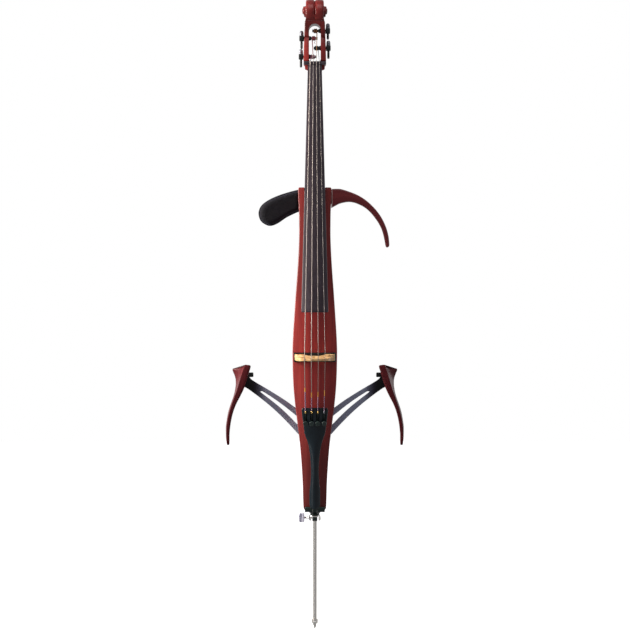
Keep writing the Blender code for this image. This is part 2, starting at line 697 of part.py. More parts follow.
# ---------------------------------------------------------------- endpin
def endpin_pieces():
    """Plug in the body, clamp collar with thumbscrew, sliding rod and its spike."""
    bore = ROD_RADIUS + GAP
    turned("endpin_plug", ((bore, 330), (9.0, 330), (9.0, 280.7), (11.2, 280.7), (11.2, 279.2),
                           (9.6, 278.6), (9.6, 274.4), (11.2, 273.8), (10.4, 270.6), (bore, 270.6)),
           EBONY, (0, 0, 0), closed=True)
    collar = turned("endpin_collar", ((bore, 270.3), (13.0, 270.3), (14.3, 269.0), (14.3, 259.0),
                                      (12.6, 257.0), (bore, 257.0)), CHROME, (0, 0, 0), closed=True)
    cut_box(collar, "clamp_window", (-8.6, -20, 250), (8.6, 20, 267.2))
    cut_rod(collar, "clamp_hole", (-20, 0, CLAMP_Z - 2), (-3, 0, CLAMP_Z - 2), 2.8, 16)
    rod_item = rod("endpin_rod", (0, 0, ROD_BOTTOM), (0, 0, ROD_TOP), ROD_RADIUS, CHROME, 24, 0.6)
    cut_rod(rod_item, "tip_socket", (0, 0, 20), (0, 0, 38), 2.8, 16)
    turned("endpin_tip", ((0, 37), (2.5, 37), (2.5, 27.0), (5.0, 27.0), (5.0, 25.4), (8.0, 24.6),
                          (8.0, 16.0), (7.2, 15.0), (4.5, 14.4), (4.3, 11.0), (0.6, 0.6), (0, 0)),
           CHROME, (0, 0, 0))
    turned("endpin_screw", ((0, 31), (2.1, 31), (2.1, 22.4), (2.5, 22.0), (2.5, 0.6), (1.9, 0), (0, 0)),
           CHROME, (-5.8, 0, CLAMP_Z - 2), (-1, 0, 0), steps=16)
    knob = add_object("endpin_screw_knob", plate_mesh(
        "knob", [(-38.0, 256.0), (-35.6, 253.2), (-27.0, 253.2), (-24.6, 256.0), (-24.6, 272.0),
                 (-27.0, 274.8), (-35.6, 274.8), (-38.0, 272.0)], -3.6, 3.6), PALE_PLASTIC)
    move_origin(knob, (-24.6, 0, CLAMP_Z - 2))
    add_bevel(knob, 1.4)
    cut_rod(knob, "knob_bore", (-37.4, 0, CLAMP_Z - 2), (-20, 0, CLAMP_Z - 2), 2.8, 16)


# ---------------------------------------------------------------- chest pad
def chest_outline(inset):
    """Bean-shaped outline of the chest pad, drawn in by a margin."""
    points = [(-38, 1039.8), (-66, 1033), (-92, 1024), (-114, 1013), (-128, 1001), (-134, 985),
              (-130, 967.5), (-119, 957.5), (-105, 953.5), (-88, 959.5), (-68, 973), (-46, 984),
              (-35, 989), (-31, 998), (-31, 1030), (-33, 1037)]
    return inset_outline(points, inset)


def inset_outline(points, inset):
    """Moves every corner of an outline inward."""
    count = len(points)
    result = []
    for i, point in enumerate(points):
        before, after = Vector(points[i - 1]), Vector(points[(i + 1) % count])
        along = (after - before).normalized()
        result.append((point[0] - along.y * inset, point[1] + along.x * inset))
    return result


def chest_pieces():
    """Padded chest rest on a plate that folds behind the body."""
    rings = [[Vector((x, y, z)) for x, z in chest_outline(inset)] for y, inset in (
        (31.7, 7.0), (33.0, 3.0), (37.0, 0.4), (44.0, 0.0), (50.0, 0.6), (54.5, 3.6), (56.5, 8.0))]
    pad = add_object("chest_pad", full_loft_mesh("chest_pad", rings), FABRIC)
    move_origin(pad, CHEST_PIVOT)
    outline = [(-40, 1026), (-66, 1021), (-100, 1008), (-118, 992), (-118, 974), (-106, 967),
               (-88, 976), (-60, 992), (-36, 998)]
    outline += [(x, z) for x, z in circle_points(CHEST_PIVOT.x, CHEST_PIVOT.z, 12.0, 16)
                if x > CHEST_PIVOT.x - 1]
    outline = outline[:9] + sorted(outline[9:], key=lambda p: p[1])
    plate = add_object("chest_pad_plate", plate_mesh(
        "chest_pad_plate", outline, PLATE_FRONT, 31.4,
        [circle_points(CHEST_PIVOT.x, CHEST_PIVOT.z, 3.3, 16)]), DARK_STEEL)
    move_origin(plate, CHEST_PIVOT)
    profile = ((0, 8.0), (5.0, 8.0), (6.6, 6.8), (6.6, 3.8), (3.0, 3.8), (3.0, -17.5), (0, -17.5))
    base = (CHEST_PIVOT.x, BODY_BACK, CHEST_PIVOT.z)
    turned("chest_pad_pin", profile, CHROME, base, (0, 1, 0), steps=20)


# ---------------------------------------------------------------- shoulder frame
def shoulder_frame():
    """Bent wooden half frame that plugs into the treble side of the body."""
    outer = ((40.3, 1039.4), (56, 1039.6), (82.6, 1032.5), (100, 1025.4), (113, 1018), (124, 1010),
             (136, 999), (148, 985.5), (157, 972.5), (165, 957), (171, 940.5), (174.8, 923),
             (176, 908), (174.5, 902))
    inner = ((38.8, 994.5), (46, 998.5), (62, 1006), (80, 1009), (92, 1007.5), (102, 1004),
             (116, 997), (129, 986.5), (141, 972.5), (151.5, 957), (159, 940.5), (164, 921),
             (166.8, 906), (168.5, 901))
    rings = []
    for i, (far, near) in enumerate(zip(outer, inner)):
        far, near = Vector((far[0], 0, far[1])), Vector((near[0], 0, near[1]))
        deep = 14.0 - 8.0 * i / (len(outer) - 1)
        rings.append(section_ring((far + near) / 2 + Vector((0, 5, 0)), (far - near).normalized(),
                                  Vector((0, 1, 0)), (far - near).length / 2, deep, 4.0))
    item = add_object("shoulder_frame", full_loft_mesh("shoulder_frame", rings), DARK_WOOD)
    join_box(item, "frame_tenon", (16.4, 2.3, 1004.3), (44.0, 17.7, 1029.7))
    profile = ((0, 14), (7.4, 14), (8.8, 12.6), (8.8, 3.0), (7.8, 2.0), (3.0, 2.0), (3.0, -9.6),
               (0, -9.6))
    base = (FRAME_SCREW.x, BODY_BACK, FRAME_SCREW.z)
    turned("frame_knob", profile, BLACK_PLASTIC, base, (0, 1, 0), steps=20)


# ---------------------------------------------------------------- knee supports
def knee_arm(side, label):
    """Slotted metal arm that turns on a bolt behind the body."""
    outline = [(-24, 452), (-16.5, 455), (-14, 462), (-14, 500), (-17, 508), (-24, 511.5), (-36, 514),
               (-50.4, 523), (-74.6, 541.6), (-105.6, 560.5), (-122, 572), (-138, 585), (-150, 598),
               (-164, 604), (-178, 601), (-184, 591), (-182, 580), (-172, 573), (-160, 570),
               (-150, 560.5), (-124.6, 541.6), (-101.6, 523), (-72.6, 494), (-52.6, 475), (-34, 455)]
    slot = [(-128.4, 557.5), (-123.4, 560), (-106.4, 551), (-80, 532), (-55.4, 514), (-40, 502.5),
            (-37, 498), (-37, 482), (-40, 480), (-54.4, 494), (-84.4, 523), (-108, 541.6)]
    holes = [slot, circle_points(ARM_PIVOT.x, ARM_PIVOT.z, 3.3, 16),
             circle_points(BLADE_PIVOT.x, BLADE_PIVOT.z, 3.3, 16)]
    if side > 0:
        outline = mirrored(outline)
        holes = [mirrored(hole) for hole in holes]
    mesh = plate_mesh("knee_arm_" + label, outline, PLATE_FRONT, PLATE_BACK, holes)
    arm = add_object("knee_arm_" + label, mesh, DARK_STEEL)
    move_origin(arm, (-side * ARM_PIVOT.x, 0, ARM_PIVOT.z))
    bolt_base = (-side * ARM_PIVOT.x, BODY_BACK, ARM_PIVOT.z)
    blade_base = (-side * BLADE_PIVOT.x, BODY_BACK, BLADE_PIVOT.z)
    profile = ((0, 13), (6.6, 13), (8.4, 11.6), (8.4, 5.5), (3.0, 5.4), (3.0, -17.5), (0, -17.5))
    turned("arm_bolt_" + label, profile, BLACK_PLASTIC, bolt_base, (0, 1, 0), steps=20)
    profile = ((0, 9.2), (6.0, 9.2), (7.4, 8.0), (7.4, 5.4), (3.0, 5.3), (3.0, -11.0), (0, -11.0))
    turned("blade_bolt_" + label, profile, BLACK_PLASTIC, blade_base, (0, 1, 0), steps=20)


def blade_ring(height, inner, crease, outer, thick, front, rear):
    """Section of the knee rest: broad front edge, hollow outer face, thin back."""
    ease = min(2.2, (crease - inner) * 0.25)
    tent = max(0.0, (height - 560.0) / 55.0) ** 1.5
    hollow = 0.14 * (outer - crease)
    return [(inner, front + 3.0, height + 6.0 * tent), (inner + ease, front, height + 7.0 * tent),
            (crease - ease, front, height + 10.0 * tent), (crease, front + 2.5, height + 9.0 * tent),
            ((crease + outer) / 2 - hollow, (front + rear) / 2, height + 1.0 * tent),
            (outer, rear - 3.0, height - 2.0 * tent), (outer - thick * 0.3, rear, height - 1.0 * tent),
            (outer - thick, rear - 1.0, height)]


def knee_blade(side, label):
    """Bent wooden knee rest, hollow outside and flared at its top."""
    # height, then X of the inner front, outer front and outer back edge, back thickness,
    # Y of the front and of the back
    stations = ((435, 203.6, 206.0, 206.2, 1.6, 1, 7), (440, 202.0, 207.8, 208.0, 3.5, -3, 10),
                (457, 202.0, 209.2, 209.8, 5.0, -6, 12), (475, 200.6, 208.2, 209.9, 5.6, -9, 13),
                (494, 197.7, 205.6, 207.5, 6.0, -11, 15), (514, 192.8, 201.2, 203.6, 6.5, -13, 18),
                (532, 185.9, 195.6, 197.7, 7.0, -14, 20), (551, 176.1, 189.0, 190.9, 7.0, -15, 22),
                (571, 166.1, 181.9, 186.3, 7.0, -16, 24), (589, 159.4, 175.3, 186.3, 6.6, -16, 25),
                (599, 155.8, 171.7, 188.9, 6.4, -16, 25.5), (606, 153.4, 168.5, 191.6, 6.0, -16, 25.5),
                (612, 151.0, 165.6, 193.4, 5.6, -15.6, 25.3), (615, 150.8, 164.0, 193.0, 5.0, -15, 24.8))
    rings = []
    for height, inner, crease, outer, thick, front, rear in stations:
        rings.append([Vector((side * x, y, z)) for x, y, z in
                      blade_ring(height, inner, crease, outer, thick, front, rear)])
    blade = add_object("knee_blade_" + label, full_loft_mesh("knee_blade_" + label, rings), DARK_WOOD)
    move_origin(blade, (-side * BLADE_PIVOT.x, 0, BLADE_PIVOT.z))
    join_rod(blade, "blade_lug_" + label, (-side * BLADE_PIVOT.x, 8, BLADE_PIVOT.z),
             (-side * BLADE_PIVOT.x, BODY_BACK, BLADE_PIVOT.z), 7.4)
    cut_rod(blade, "blade_hole_" + label, (-side * BLADE_PIVOT.x, 16, BLADE_PIVOT.z),
            (-side * BLADE_PIVOT.x, 40, BLADE_PIVOT.z), 3.3, 16)


# ---------------------------------------------------------------- assembly
body_shell()
back_cover()
circuit_board()
volume_knob()
jack("output_jack", -17, 5.6, 3.3)
jack("phones_jack", 17, 3.9, 1.9)
battery_pieces()
neck_and_scroll()
fingerboard()
nut()
bridge_pieces()
tailpiece()
for entry in STRINGS:
    tuner(entry[0])
    string(*entry)
    fine_tuner(entry[0], entry[2])
tail_cord()
saddle()
endpin_pieces()
chest_pieces()
shoulder_frame()
for support_side, support_label in ((-1, "left"), (1, "right")):
    knee_arm(support_side, support_label)
    knee_blade(support_side, support_label)
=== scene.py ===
"""Look of the slim electric cello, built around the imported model. Sizes here are in millimetres."""
import math

import bmesh
import bpy
import numpy as np
from mathutils import Matrix, Vector


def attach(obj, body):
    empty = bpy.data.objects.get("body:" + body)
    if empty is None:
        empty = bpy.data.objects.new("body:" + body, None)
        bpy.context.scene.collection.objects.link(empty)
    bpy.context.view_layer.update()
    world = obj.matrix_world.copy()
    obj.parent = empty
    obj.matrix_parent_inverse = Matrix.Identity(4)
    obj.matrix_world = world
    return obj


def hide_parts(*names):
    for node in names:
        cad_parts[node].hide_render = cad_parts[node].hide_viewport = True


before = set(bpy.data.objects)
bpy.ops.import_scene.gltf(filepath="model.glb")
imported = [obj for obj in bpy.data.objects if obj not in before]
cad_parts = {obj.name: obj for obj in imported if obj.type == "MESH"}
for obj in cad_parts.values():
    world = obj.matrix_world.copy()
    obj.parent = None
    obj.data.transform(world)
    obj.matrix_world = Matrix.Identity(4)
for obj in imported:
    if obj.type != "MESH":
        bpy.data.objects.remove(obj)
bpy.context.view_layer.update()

MM = 0.001
TAU = math.tau
ACROSS, OUT, UP = (1, 0, 0), (0, 1, 0), (0, 0, 1)
ORIGIN = (0, 0, 0)

# --- sizes shared with the CAD
BACK, GAP, BOLT_HOLE, THUMB_HOLE = 28.0, 0.3, 3.3, 2.8
# height, half width, Y of the middle of the front
BODY_STATIONS = ((281, 19.5, -21), (283.5, 24, -24), (289, 26.6, -25.5), (300, 27.3, -26.5),
    (340, 28.4, -28), (381, 30.5, -29), (409, 32.5, -29.5), (438, 35, -30), (466, 38.2, -30),
    (494, 41.7, -30), (537, 46.9, -30), (579, 50.5, -30), (620, 52.1, -30), (655, 52.6, -30),
    (693, 51.3, -30), (735, 48.7, -30), (792, 44.9, -30), (848, 40.8, -30), (891, 38.3, -30),
    (935, 36.9, -30), (976, 37.2, -30), (1036, 39.5, -30), (1040.5, 38.6, -29.5), (1042, 37, -28.6))
ARCH_SHARE = 0.18
BOARD_TOP, BOARD_END, BOARD_RADIUS = 1330.2, 748.0, 62
BRIDGE_BACK, BRIDGE_CREST_Z, BRIDGE_FOOT = 634.9, 637.4, -32.8
NUT_FACE, NUT_LOW, NUT_MIDDLE, NUT_HIGH = -23.5, 1330.6, 1334.6, 1338.6
POST_Y, WORM_Y, POST_RADIUS, SLOT_HALF = -7, -0.5, 3.0, 13.9
SCROLL_Y, SCROLL_Z = -3, 1459
# name, radius, X at the tailpiece, at the bridge and at the nut, height of the bridge below it
STRINGS = (("c", 0.90, -21.7, -24, -10.9, 73.4), ("g", 0.75, -7.4, -8, -3.65, 78.4),
    ("d", 0.60, 7, 8, 3.65, 78.4), ("a", 0.45, 21.7, 24, 10.9, 73.4))
# side, height, X of the tip of the post, length of the paddle
TUNERS = {"c": (-1, 1350.6, 4.2, 18), "g": (-1, 1394, 6.4, 18), "d": (1, 1411.5, -6.1, 13.2),
    "a": (1, 1371, -2.8, 18)}
TAIL_FOOT, TAIL_TILT, TAIL_LENGTH = Vector((0, -54, 288)), math.radians(7.33), 239
LEVER_PIVOT, SCREW_ALONG, BALL_ALONG = 225, 204, 230.0
CLAMP_Z = 264.0
ARM_PIVOT, BLADE_PIVOT = (-24, 482), (-172, 588)
CHEST_PIVOT, FRAME_SCREW = (-18, 1011), (28, 1017)
VOLUME_Z, JACK_X, JACK_Z = 700, 17, 622


# --- material helpers
def colour(code):
    """Scene-linear colour from a six-digit sRGB code."""
    channels = [int(code[i:i + 2], 16) / 255 for i in (0, 2, 4)]
    return tuple(c / 12.92 if c <= 0.04045 else ((c + 0.055) / 1.055) ** 2.4 for c in channels) + (1,)


class Look:
    """A node material in the making."""

    def __init__(self, name, coordinates="object"):
        self.material = bpy.data.materials.new(name)
        self.material.use_nodes = True
        self.tree = self.material.node_tree
        self.shader = self.tree.nodes["Principled BSDF"]
        if coordinates == "object":
            self.place = self.node("ShaderNodeTexCoord").outputs["Object"]
        else:
            self.place = self.node("ShaderNodeAttribute", attribute_name=coordinates).outputs["Vector"]

    def feed(self, target, source):
        """Gives an input the output of a node, a number, a vector or a colour code."""
        if isinstance(source, bpy.types.NodeSocket):
            self.tree.links.new(source, target)
        else:
            target.default_value = colour(source) if isinstance(source, str) else source

    def node(self, kind, inputs=None, **settings):
        made = self.tree.nodes.new(kind)
        for key, value in settings.items():
            setattr(made, key, value)
        for key, source in (inputs or {}).items():
            self.feed(made.inputs[key], source)
        return made

    def set(self, **values):
        """Feeds the shader's own inputs."""
        for key, value in values.items():
            self.feed(self.shader.inputs[key.replace("_", " ")], value)

    def noise(self, scale, stretch=(1, 1, 1), detail=3, rough=0.5, twist=0):
        place = self.node("ShaderNodeMapping", {"Scale": stretch, "Vector": self.place}).outputs["Vector"]
        inputs = {"Scale": scale, "Detail": detail, "Roughness": rough, "Distortion": twist,
            "Vector": place}
        return self.node("ShaderNodeTexNoise", inputs).outputs["Fac"]

    def wave(self, scale, direction="Z", twist=0, profile="SIN"):
        inputs = {"Scale": scale, "Distortion": twist, "Vector": self.place}
        wave = self.node("ShaderNodeTexWave", inputs, bands_direction=direction, wave_profile=profile)
        return wave.outputs["Fac"]

    def ramp(self, factor, stops):
        ramp = self.node("ShaderNodeValToRGB", {"Fac": factor})
        elements = ramp.color_ramp.elements
        while len(elements) < len(stops):
            elements.new(0.5)
        for element, (place, tint) in zip(elements, stops):
            element.position = place
            element.color = colour(tint) if isinstance(tint, str) else (tint, tint, tint, 1)
        return ramp.outputs["Color"]

    def mix(self, first, second, factor, blend="MIX"):
        inputs = {6: first, 7: second, 0: factor}
        return self.node("ShaderNodeMix", inputs, data_type="RGBA", blend_type=blend).outputs[2]

    def maths(self, operation, first, second=0):
        return self.node("ShaderNodeMath", {0: first, 1: second}, operation=operation).outputs[0]

    def axis(self, name):
        return self.node("ShaderNodeSeparateXYZ", {0: self.place}).outputs[name]

    def paint(self, result):
        self.set(Base_Color=result)

    def roughness(self, factor, low, high):
        spread = self.node("ShaderNodeMapRange", {"Value": factor, "To Min": low, "To Max": high})
        self.set(Roughness=spread.outputs["Result"])

    def bump(self, height, strength, distance):
        inputs = {"Height": height, "Strength": strength, "Distance": distance * MM}
        self.set(Normal=self.node("ShaderNodeBump", inputs).outputs["Normal"])


# --- materials
# Height in m that the painted-shade table is scaled by.
PAINTED_SHADE_TOP = 1.6


def lacquered_wood(name, dark, middle, light, coordinates="object", painted_shade=None, gloss=1):
    """Stained wood with long quiet grain, clouding and a clear coat; an optional table of (height in m,
    factor) multiplies painted shade into the colour.
    """
    look = Look(name, coordinates)
    lines = look.noise(420, (1, 1, 0.02), 4, 0.55, 0.2)
    broad = look.noise(60, (1, 1, 0.05), 3, 0.5, 0.6)
    clouds = look.noise(14, (1, 1, 0.6), 2)
    grain = look.mix(lines, broad, 0.5)
    tint = look.ramp(grain, ((0.34, dark), (0.5, middle), (0.68, light)))
    tint = look.mix(tint, look.ramp(clouds, ((0.3, 0.86), (0.7, 1))), 0.7, "MULTIPLY")
    # Painted shade: the colour is darkened by height, from the table.
    if painted_shade:
        height = look.maths("MULTIPLY", look.axis("Z"), 1 / PAINTED_SHADE_TOP)
        tint = look.mix(tint, look.ramp(height, [(z / PAINTED_SHADE_TOP, shade) for z, shade in painted_shade]), 1,
            "MULTIPLY")
    look.paint(tint)
    look.bump(look.noise(900, (1, 1, 0.04), 1), 0.04, 0.03)
    look.roughness(broad, 0.34, 0.44)
    look.set(Coat_Weight=0.2 * gloss, Coat_Roughness=0.2, Specular_IOR_Level=0.25 * gloss)
    return look.material


def ebony(name):
    """Near-black hardwood with purple-grey streaks and an oiled sheen."""
    look = Look(name)
    lines = look.noise(760, (1, 1, 0.014), 5, 0.6, 0.15)
    broad = look.noise(120, (1, 1, 0.03), 3)
    look.paint(look.ramp(look.mix(lines, broad, 0.4),
        ((0.34, "29222a"), (0.52, "3a3037"), (0.7, "4d434c"))))
    look.bump(look.ramp(look.noise(1900, (1, 1, 0.04), 2), ((0.34, 0), (0.5, 1))), 0.10, 0.04)
    look.roughness(broad, 0.34, 0.46)
    look.set(Coat_Weight=0.1, Coat_Roughness=0.3, Specular_IOR_Level=0.35)
    return look.material


def maple(name):
    """Pale bridge maple with ray flecks."""
    look = Look(name)
    lines = look.noise(420, (0.05, 1, 0.5), 4, 0.55, 0.1)
    flecks = look.ramp(look.noise(1300, (0.12, 0.3, 1), 2), ((0.54, 0), (0.70, 1)))
    tint = look.ramp(lines, ((0.3, "cf9b5e"), (0.5, "e2b77c"), (0.7, "efcc97")))
    look.paint(look.mix(tint, "b97f42", look.maths("MULTIPLY", flecks, 0.28)))
    look.bump(lines, 0.2, 0.08)
    look.roughness(lines, 0.42, 0.58)
    look.set(Specular_IOR_Level=0.4)
    return look.material


def plastic(name, low, high, rough=(0.32, 0.46), grain=1400, strength=0.12, shine=0.38):
    """Moulded plastic with a fine spark-eroded skin and faint handling marks."""
    look = Look(name)
    skin = look.noise(grain, detail=2)
    marks = look.noise(60, detail=4, rough=0.6)
    look.paint(look.ramp(look.mix(skin, marks, 0.6), ((0.35, low), (0.65, high))))
    look.bump(skin, strength, 0.04)
    look.roughness(marks, *rough)
    look.set(Specular_IOR_Level=shine)
    return look.material


def metal(name, low, high, rough, brushed=(1, 1, 1), relief=0.12):
    """Bare or plated metal with brushing marks and uneven polish."""
    look = Look(name)
    marks = look.noise(800, brushed, 4, 0.6)
    smears = look.noise(45, detail=3)
    look.paint(look.ramp(look.mix(marks, smears, 0.5), ((0.3, low), (0.7, high))))
    look.bump(marks, relief, 0.02)
    look.roughness(look.mix(marks, smears, 0.5), *rough)
    look.set(Metallic=1)
    return look.material


def arm_metal(name):
    """Satin arm with painted light and shade: grey near the pivot, darkening along its length to the black
    of its outer sleeve.
    """
    look = Look(name)
    reach = look.maths("ABSOLUTE", look.axis("X"))
    marks = look.noise(900, (0.05, 1, 0.05), 3)
    # Painted light and shade from grey to dark along the arm; only the black at the far end is the sleeve's
    # own colour.
    shade = look.ramp(look.maths("MULTIPLY", reach, 5),
        ((0.15, "aeb9cc"), (0.585, "a4afc2"), (0.64, "676c7c"), (0.70, "292733"), (0.735, "0a0a0c")))
    look.paint(look.mix(shade, look.ramp(marks, ((0.3, 0.88), (0.7, 1))), 1, "MULTIPLY"))
    look.bump(marks, 0.08, 0.03)
    look.roughness(marks, 0.5, 0.64)
    look.set(Metallic=0.1, Specular_IOR_Level=0.3)
    return look.material


def wound_string(name, low, high, pitch):
    """Flat-wound metal: fine turns along the string."""
    look = Look(name, "grain")
    turns = look.wave(pitch)
    wear = look.noise(22)
    look.paint(look.ramp(wear, ((0.3, low), (0.7, high))))
    look.bump(turns, 0.05, 0.02)
    look.roughness(wear, 0.34, 0.48)
    look.set(Metallic=0.85)
    return look.material


def silk(name, first, second, pitch=125):
    """Wrapping thread: two colours wound in a steep spiral, with fine fibres."""
    look = Look(name, "grain")
    along = look.maths("MULTIPLY", look.axis("Z"), pitch)
    stripe = look.maths("FRACT", look.maths("ADD", look.axis("X"), along))
    fibres = look.noise(2600, (0.004, 1, 1), 3)
    tint = look.ramp(stripe, ((0.42, first), (0.5, second), (0.92, second), (1, first)))
    look.paint(look.mix(tint, look.ramp(fibres, ((0.3, 0.6), (0.7, 1))), 0.8, "MULTIPLY"))
    look.bump(fibres, 0.6, 0.08)
    look.roughness(fibres, 0.55, 0.8)
    look.set(Sheen_Weight=0.3, Sheen_Roughness=0.4)
    return look.material


def cord_look(name):
    """Twisted nylon cord."""
    look = Look(name, "grain")
    turn, along = look.maths("MULTIPLY", look.axis("X"), 3), look.maths("MULTIPLY", look.axis("Z"), 260)
    twist = look.maths("FRACT", look.maths("ADD", turn, along))
    strand = look.maths("SINE", look.maths("MULTIPLY", twist, math.pi))
    look.paint(look.ramp(strand, ((0, "050606"), (0.8, "1c2020"))))
    look.bump(strand, 0.9, 0.35)
    look.roughness(strand, 0.4, 0.6)
    return look.material


def knit(name):
    """Black stretch fabric: fine knit columns, soft sheen and clouded wear."""
    look = Look(name)
    weft = look.wave(560, "X", twist=1.2)
    warp = look.wave(560, "Z", twist=1.2)
    loops = look.maths("MULTIPLY", weft, warp)
    clouds = look.noise(40, detail=4, rough=0.6)
    fuzz = look.noise(2400, detail=3)
    tint = look.ramp(look.mix(loops, clouds, 0.55), ((0.2, "09080c"), (0.5, "131118"), (0.85, "211f29")))
    look.paint(look.mix(tint, look.ramp(fuzz, ((0.35, 0.75), (0.65, 1))), 0.6, "MULTIPLY"))
    look.bump(look.mix(loops, fuzz, 0.3), 0.55, 0.25)
    look.roughness(clouds, 0.72, 0.92)
    look.set(Sheen_Weight=0.22, Sheen_Roughness=0.45, Sheen_Tint=colour("77769a"), Specular_IOR_Level=0.2)
    return look.material


def laminate(name):
    """Circuit board: solder mask with faint tracks."""
    look = Look(name)
    tracks = look.ramp(look.wave(60, "X", twist=6, profile="SAW"), ((0.46, 0), (0.5, 1), (0.56, 0)))
    look.paint(look.mix(look.ramp(look.noise(300), ((0.3, "0c3a1d"), (0.7, "13502a"))), "2f7d45", tracks))
    look.bump(tracks, 0.3, 0.1)
    look.roughness(look.noise(90), 0.35, 0.5)
    return look.material


# Painted shade: the body's colour is darkened below 0.58 m and above 0.74 m, where the key light falls off.
RED_WOOD = lacquered_wood("red_lacquer", "862929", "9a302d", "aa3c35",
    painted_shade=((0.28, 0.42), (0.40, 0.50), (0.50, 0.84), (0.58, 1), (0.74, 1), (0.83, 0.70), (1.05, 0.60)))
# Painted shadow: the pegbox and throat from 1.38 m to 1.47 m are darkened as if shaded by the scroll above.
DARK_WOOD = lacquered_wood("neck_lacquer", "7a2120", "8b2926", "9a332c",
    painted_shade=((1.3820, 1), (1.4020, 0.50), (1.4380, 0.40), (1.4560, 0.64), (1.4700, 1)))
FRAME_WOOD = lacquered_wood("half_frame_lacquer", "6a2124", "7a282b", "8a3433", "grain")
BENT_WOOD = lacquered_wood("bent_wood_lacquer", "4d191c", "5b1f23", "6b292b", "grain", gloss=0.35)
EBONY = ebony("ebony")
MAPLE = maple("bridge_maple")
BLACK = plastic("black_moulding", "0a0d0d", "161b1b", (0.44, 0.58), shine=0.3)
GREEN = plastic("dark_green_moulding", "101c1b", "22302d", (0.3, 0.44), 1500, 0.12)
SCREW_BLACK = plastic("screw_black", "12201f", "33423e", (0.22, 0.34), 1600, 0.12)
TRAY = plastic("pickup_tray", "100a08", "221713")
TAIL = plastic("tailpiece_moulding", "0f1a20", "19262e", (0.20, 0.30), 1700, 0.05, 0.34)
LAVENDER = plastic("pale_knob", "dfe1f6", "f1f2fd", (0.3, 0.42), 1500, 0.15)
CHROME = metal("polished_steel", "dcd8d4", "efece8", (0.11, 0.15), (1, 1, 0.03), relief=0.03)
NICKEL = metal("satin_nickel", "5e5e65", "7f7f87", (0.42, 0.55))
DARK_METAL = metal("blackened_steel", "17171a", "34343a", (0.3, 0.45))
BRASS = metal("ball_brass", "b48f4a", "e0bd74", (0.2, 0.32))
ARM = arm_metal("arm_satin")
CORD = cord_look("tail_nylon")
FABRIC = knit("pad_knit")
PIPING = plastic("pad_piping", "0b0a0d", "1b1a20", (0.6, 0.8), 1900, 0.4)
LAMINATE = laminate("board_laminate")
# Painted highlight: pale metal for the thin strip that stands for the bright edge where the half frame
# meets the body.
EDGE_HIGHLIGHT = metal("edge_highlight_strip", "a98f8b", "d8c6c2", (0.3, 0.45))


# --- mesh helpers
def hermite(t, width, start, end, leaving, arriving):
    """Cubic between two values, with a slope at each."""
    first = (1 + 2 * t) * (1 - t) ** 2 * start + t * (1 - t) ** 2 * width * leaving
    return first + t * t * (3 - 2 * t) * end + t * t * (t - 1) * width * arriving


def pchip(xs, ys):
    """Smooth curve through the points without overshoot."""
    xs, ys = np.array(xs, float), np.array(ys, float)
    steps = np.diff(xs)
    slopes = np.diff(ys) / steps
    tangents = np.zeros(len(xs))
    tangents[0], tangents[-1] = slopes[0], slopes[-1]
    for i in range(1, len(xs) - 1):
        if slopes[i - 1] * slopes[i] > 0:
            first, second = 2 * steps[i] + steps[i - 1], steps[i] + 2 * steps[i - 1]
            tangents[i] = (first + second) / (first / slopes[i - 1] + second / slopes[i])

    def at(x):
        i = int(np.clip(np.searchsorted(xs, x) - 1, 0, len(xs) - 2))
        h = steps[i]
        t = min(max((x - xs[i]) / h, 0), 1)
        return float(hermite(t, h, ys[i], ys[i + 1], tangents[i], tangents[i + 1]))
    return at


def curves_of(table):
    """A smooth curve for each further column of a table, against its first column."""
    first, *others = zip(*table)
    return [pchip(first, other) for other in others]


def flow(points, count, closed=False):
    """Evenly spread points on a smooth curve through the given ones."""
    points = [np.array(p, float) for p in points]
    if closed:
        points = points[-2:] + points + points[:3]
    marks = [0]
    for before, after in zip(points, points[1:]):
        marks.append(marks[-1] + float(np.linalg.norm(after - before)) ** 0.75 + 1e-9)
    tangents = []
    for i in range(len(points)):
        a, b = max(i - 1, 0), min(i + 1, len(points) - 1)
        tangents.append((points[b] - points[a]) / (marks[b] - marks[a]))
    first, last = (2, len(points) - 3) if closed else (0, len(points) - 1)
    fine = []
    for i in range(first, last):
        h = marks[i + 1] - marks[i]
        for k in range(16):
            fine.append(hermite(k / 16, h, points[i], points[i + 1], tangents[i], tangents[i + 1]))
    fine.append(points[last])
    reach = np.concatenate([[0], np.cumsum([np.linalg.norm(b - a) for a, b in zip(fine, fine[1:])])])
    share = np.linspace(0, reach[-1], count + 1 if closed else count)
    if closed:
        share = share[:-1]
    fine = np.array(fine)
    return [tuple(float(np.interp(s, reach, fine[:, k])) for k in range(fine.shape[1])) for s in share]


def placed(name, data):
    """New object in the scene."""
    item = bpy.data.objects.new(name, data)
    bpy.context.scene.collection.objects.link(item)
    return item


def baked(item):
    """Mesh of an object with its modifiers applied. The object itself goes."""
    bpy.context.view_layer.update()
    graph = bpy.context.evaluated_depsgraph_get()
    result = bpy.data.meshes.new_from_object(item.evaluated_get(graph), depsgraph=graph)
    bpy.data.objects.remove(item)
    result.materials.clear()
    return result


def piece(name, mesh, material, body, nodes=(), sharp=38):
    """A finished mesh in metres as a piece that rides on a body and stands for CAD nodes."""
    mesh.name = name
    mesh.materials.clear()
    mesh.materials.append(material)
    mesh.shade_smooth()
    mesh.set_sharp_from_angle(angle=math.radians(sharp))
    item = placed(name, mesh)
    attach(item, body)
    if nodes:
        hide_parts(*nodes)
    return item


